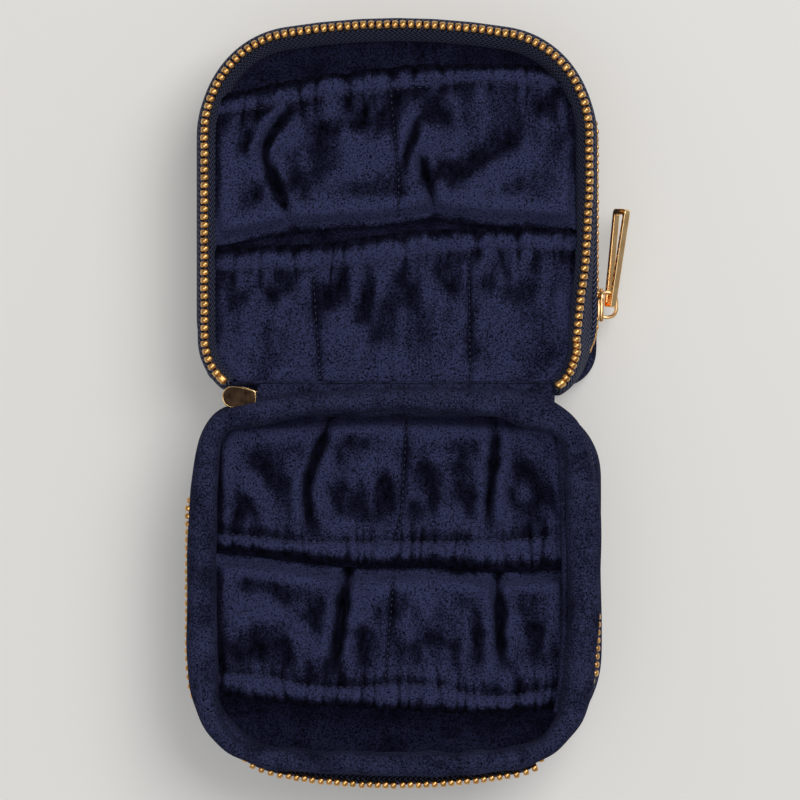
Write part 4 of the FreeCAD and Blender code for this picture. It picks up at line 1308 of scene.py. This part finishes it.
def stitches(name, tier, top):
    """Thread stitches sunk into the cloth along the hem and up the seams."""
    rows, columns = top.shape[:2]
    surface = BVHTree.FromPolygons(
        [tuple(p) for p in top.reshape(-1, 3)], [tuple(f) for f in grid_faces(rows, columns)]
    )
    hem_x = np.linspace(-43.5, 42.5, 90)
    lines = [(np.stack([hem_x, along_curve(tier["stitch"], hem_x)], 1), 1.9, 0.95)]
    lines += [(np.array(seam), 1.7, 0.7) for seam in tier["seams"]]
    rings, ring = 5, 6
    points = []
    faces = []
    for line, spacing, length in lines:
        spots = resample(line, spacing=spacing)
        for before, after in zip(spots, spots[1:]):
            x, v = (before + after) / 2
            hit = surface.ray_cast(Vector((x, v, 60.0)), Vector((0, 0, -1)))
            if hit[0] is None:
                continue
            direction = (after - before) / np.linalg.norm(after - before)
            first = len(points)
            for k in range(rings):
                t = k / (rings - 1)
                radius = 0.17 * math.sqrt(max(0.08, 1 - (2 * t - 1) ** 2))
                for m in range(ring):
                    angle = 2 * math.pi * m / ring
                    along, side = length * (t - 0.5), radius * math.cos(angle)
                    points.append((
                        x + direction[0] * along - direction[1] * side,
                        v + direction[1] * along + direction[0] * side,
                        hit[0].z + 0.02 + radius * math.sin(angle),
                    ))
            faces += tube_faces(rings, ring, first)
    thread = new_object(name + "_stitches", to_world(tier["side"], points), faces)
    finish_piece(thread, tier["body"], THREAD, "lining")


# ------------------------------------------------------------------ sliders and pulls

def extrude_outline(name, outline_points, thickness, bevel, placement, hole=None):
    """A flat plate with rounded edges: its outline in local YZ, its thickness along local X."""
    work = bmesh.new()
    outer = [work.verts.new((0, a, b)) for a, b in outline_points]
    if hole is None:
        work.faces.new(outer)
    else:
        inner = [work.verts.new((0, a, b)) for a, b in hole]
        count = len(outer)
        for i in range(count):
            j = (i + 1) % count
            work.faces.new((outer[i], outer[j], inner[j], inner[i]))
    result = bmesh.ops.extrude_face_region(work, geom=work.faces[:])
    moved = [item for item in result["geom"] if isinstance(item, bmesh.types.BMVert)]
    bmesh.ops.translate(work, verts=moved, vec=(thickness, 0, 0))
    bmesh.ops.recalc_face_normals(work, faces=work.faces)
    mesh = bpy.data.meshes.new(name)
    work.to_mesh(mesh)
    work.free()
    mesh.transform(placement)
    mesh.transform(Matrix.Scale(MM, 4))
    mesh.polygons.foreach_set("use_smooth", [True] * len(mesh.polygons))
    piece = bpy.data.objects.new(name, mesh)
    bpy.context.scene.collection.objects.link(piece)
    modifier = piece.modifiers.new("rounded", "BEVEL")
    modifier.width = bevel * MM
    modifier.segments = 4
    modifier.limit_method = "ANGLE"
    modifier.angle_limit = math.radians(40)
    return piece


def teardrop(length, broad, narrow, count=40):
    """A slider plate's outline: round at the broad end (low), squared at the tail (high)."""
    points = []
    for k in range(count // 2 + 1):
        angle = math.pi + math.pi * k / (count // 2)
        radius = broad / 2
        points.append((-length / 2 + radius + radius * math.sin(angle) * 0.95,
                       radius * math.cos(angle)))
    shoulder = length / 2
    points += [
        (-0.05 * length, broad / 2 * 0.97), (0.2 * length, (broad * 0.45 + narrow * 0.55) / 2),
        (shoulder - 0.5, narrow / 2), (shoulder, narrow / 2 - 0.4), (shoulder, -narrow / 2 + 0.4),
        (shoulder - 0.5, -narrow / 2), (0.2 * length, -(broad * 0.45 + narrow * 0.55) / 2),
        (-0.05 * length, -broad / 2 * 0.97),
    ]
    return points


def wire(name, points, radius, placement):
    """A round wire through local (x, y, z) points."""
    curve = bpy.data.curves.new(name, "CURVE")
    curve.dimensions = "3D"
    curve.bevel_depth = radius * MM
    curve.bevel_resolution = 5
    curve.use_fill_caps = True
    spline = curve.splines.new("BEZIER")
    spline.bezier_points.add(len(points) - 1)
    for knot, point in zip(spline.bezier_points, points):
        knot.co = placement @ Vector(point) * MM
        knot.handle_left_type = "AUTO"
        knot.handle_right_type = "AUTO"
    piece = bpy.data.objects.new(name, curve)
    bpy.context.scene.collection.objects.link(piece)
    graph = bpy.context.evaluated_depsgraph_get()
    mesh = bpy.data.meshes.new_from_object(piece.evaluated_get(graph))
    bpy.data.objects.remove(piece)
    solid = bpy.data.objects.new(name, mesh)
    mesh.polygons.foreach_set("use_smooth", [True] * len(mesh.polygons))
    bpy.context.scene.collection.objects.link(solid)
    return solid


# A slider's gap for the teeth, the thickness of its plates, and how far the pull's pivot
# stands off them.
CHANNEL = 2.4
PLATE = 1.0
PIVOT = 1.75
PULL_LENGTH = 26.0


def metal(piece, body, *nodes):
    """A gold-plated piece of a slider or pull."""
    return finish_piece(piece, body, PULL_GOLD, "zip_metal", *nodes)


def slider(prefix, placement):
    """Two teardrop plates, one with a thin dark sheet of painted shade on its face, their channel's
    walls and wedge, and a bail.
    """
    body = prefix + "_slider"
    face = CHANNEL / 2
    back = -face - PLATE

    def plate(name, outline_points, thickness, bevel, foot):
        place = placement @ Matrix.Translation((foot, 0, 0))
        return extrude_outline(f"{prefix}_{name}", outline_points, thickness, bevel, place)

    drop = teardrop(9.0, 5.6, 3.6)
    metal(plate("outer_plate", drop, PLATE, 0.35, face), body, prefix + "_slider")
    metal(plate("inner_plate", drop, PLATE, 0.35, back), body)
    # Painted shade: a thin dark sheet on the back plate's face.
    shade_sheet = plate("inner_face_shade", teardrop(8.4, 5.1, 3.2), 0.2, 0.05, back - 0.1)
    finish_piece(shade_sheet, body, SHADE_BRONZE, "zip_metal")
    for sign in (-1, 1):
        wall = [
            (-1.2, sign * 2.45), (1.6, sign * 2.0), (4.0, sign * 1.45),
            (4.0, sign * 1.8), (1.6, sign * 2.45), (-1.2, sign * 2.8),
        ]
        for number, foot in enumerate((face - 0.55, -face - 0.05)):
            metal(plate(f"flange_{(sign + 1) // 2}{number}", wall, 0.6, 0.1, foot), body)
    wedge = [(-4.0, -0.35), (-3.2, -0.8), (-1.4, 0.0), (-3.2, 0.8), (-4.0, 0.35)]
    metal(plate("wedge", wedge, CHANNEL + 0.2, 0.1, -face - 0.1), body)
    out = face + PLATE
    loop = [
        (out - 0.3, -3.1, 0), (out + 1.2, -3.3, 0), (out + 2.9, -2.5, 0), (out + 3.4, 0, 0),
        (out + 2.9, 2.5, 0), (out + 1.2, 3.3, 0), (out - 0.3, 3.1, 0),
    ]
    metal(wire(prefix + "_bail_wire", loop, 0.5, placement), body, prefix + "_bail")


def rounded_quad(corners, radii, count=7):
    """A closed outline through four corners, each rounded with its own radius."""
    points = []
    for i, corner in enumerate(corners):
        corner = np.array(corner, float)
        before = np.array(corners[i - 1], float) - corner
        after = np.array(corners[(i + 1) % 4], float) - corner
        start = corner + before / np.linalg.norm(before) * radii[i]
        end = corner + after / np.linalg.norm(after) * radii[i]
        for k in range(count):
            t = k / (count - 1)
            points.append(tuple((1 - t) ** 2 * start + 2 * t * (1 - t) * corner + t * t * end))
    return points


def pull(prefix, placement, body):
    """An open tapered pull: slim where the bail holds it and wide at its tip."""
    near, far = 1.75, 3.05
    thick = 1.75
    bar = 1.15
    tip = PULL_LENGTH - 0.65
    inner_tip = PULL_LENGTH - 2.2
    outer = rounded_quad(
        [(-0.65, -near), (tip, -far), (tip, far), (-0.65, near)], (0.8, 1.3, 1.3, 0.8)
    )
    inner = rounded_quad(
        [(0.55, bar - near), (inner_tip, bar - far), (inner_tip, far - bar), (0.55, near - bar)],
        (0.3, 0.6, 0.6, 0.3),
    )
    place = placement @ Matrix.Translation((-thick / 2, 0, 0))
    frame_plate = extrude_outline(prefix + "_pull_frame", outer, thick, 0.28, place, hole=inner)
    metal(frame_plate, body, prefix + "_pull")


def turn(degrees, axis):
    return Matrix.Rotation(math.radians(degrees), 4, axis)


def sliders():
    """Each zip's slider at the middle of its node, with its pull hung from the bail."""
    out = CHANNEL / 2 + PLATE + PIVOT
    where = (LOW["zip2_slider"] + HIGH["zip2_slider"]) / 2
    wall = Matrix.Translation(where)
    slider("zip2", wall @ turn(180, "X"))
    hang = wall @ Matrix.Translation((out, 0, 0)) @ turn(-7, "Z") @ turn(30, "Y")
    pull("zip2", hang, "zip2_pull")

    where = (LOW["zip1_slider"] + HIGH["zip1_slider"]) / 2
    spine = Matrix.Translation(where) @ Matrix((
        (0, 1, 0, 0), (0, 0, -1, 0), (-1, 0, 0, 0), (0, 0, 0, 1)
    ))
    slider("zip1", spine)
    hang = spine @ Matrix.Translation((out, 0, 0)) @ turn(-50, "Z")
    pull("zip1", hang, "zip1_pull")


# ------------------------------------------------------------------ floor, light and camera

def stage():
    """A pale floor under the case."""
    bpy.ops.mesh.primitive_plane_add(size=6.0, location=(0, 0, 0))
    floor = bpy.context.object
    floor.name = "floor"
    n = Nodes("pale_floor")
    n.set("Base Color", (0.70, 0.69, 0.665, 1))
    n.set("Roughness", 0.8)
    n.set("Specular IOR Level", 0.1)
    floor.data.materials.append(n.material)


def area_light(name, where, size, power, colour, shadows=True):
    light = bpy.data.lights.new(name, "AREA")
    light.use_shadow = shadows
    light.size = size
    light.energy = power
    light.color = colour
    lamp = bpy.data.objects.new(name, light)
    lamp.location = where
    aim = Vector((0, HINGE_Y * MM, 0)) - Vector(where)
    lamp.rotation_euler = aim.to_track_quat("-Z", "Y").to_euler()
    bpy.context.scene.collection.objects.link(lamp)


def light_and_camera():
    area_light("key", (0.55, 0.50, 1.15), 0.9, 11.0, (1.0, 0.985, 0.96))
    area_light("bounce", (-0.5, -0.5, 1.5), 1.4, 11.5, (0.98, 0.985, 1.0), shadows=False)
    world = bpy.data.worlds.new("room")
    bpy.context.scene.world = world
    world.use_nodes = True
    back = world.node_tree.nodes["Background"]
    back.inputs["Color"].default_value = (0.97, 0.98, 1.0, 1)
    back.inputs["Strength"].default_value = 0.32
    camera = bpy.data.cameras.new("camera")
    camera.sensor_width = 36.0
    distance = 1.15
    rim_height = 0.02
    view_width = 0.208
    camera.lens = camera.sensor_width * (distance - rim_height) / view_width
    camera.clip_start = 0.05
    eye = bpy.data.objects.new("camera", camera)
    eye.location = (0.0008, (HINGE_Y - 0.8) * MM, distance)
    bpy.context.scene.collection.objects.link(eye)
    bpy.context.scene.camera = eye
    bpy.context.scene.view_settings.view_transform = "Standard"


# ------------------------------------------------------------------ the whole case

keep_cad_nodes()
back_shell()
front_shell()
linings()
tapes()
all_teeth()
rim_roll()
piping()
spine_wall()
hinge_strips()
for tier_name, tier_curves in TIERS.items():
    pocket_tier(tier_name, tier_curves)
sliders()
stage()
light_and_camera()
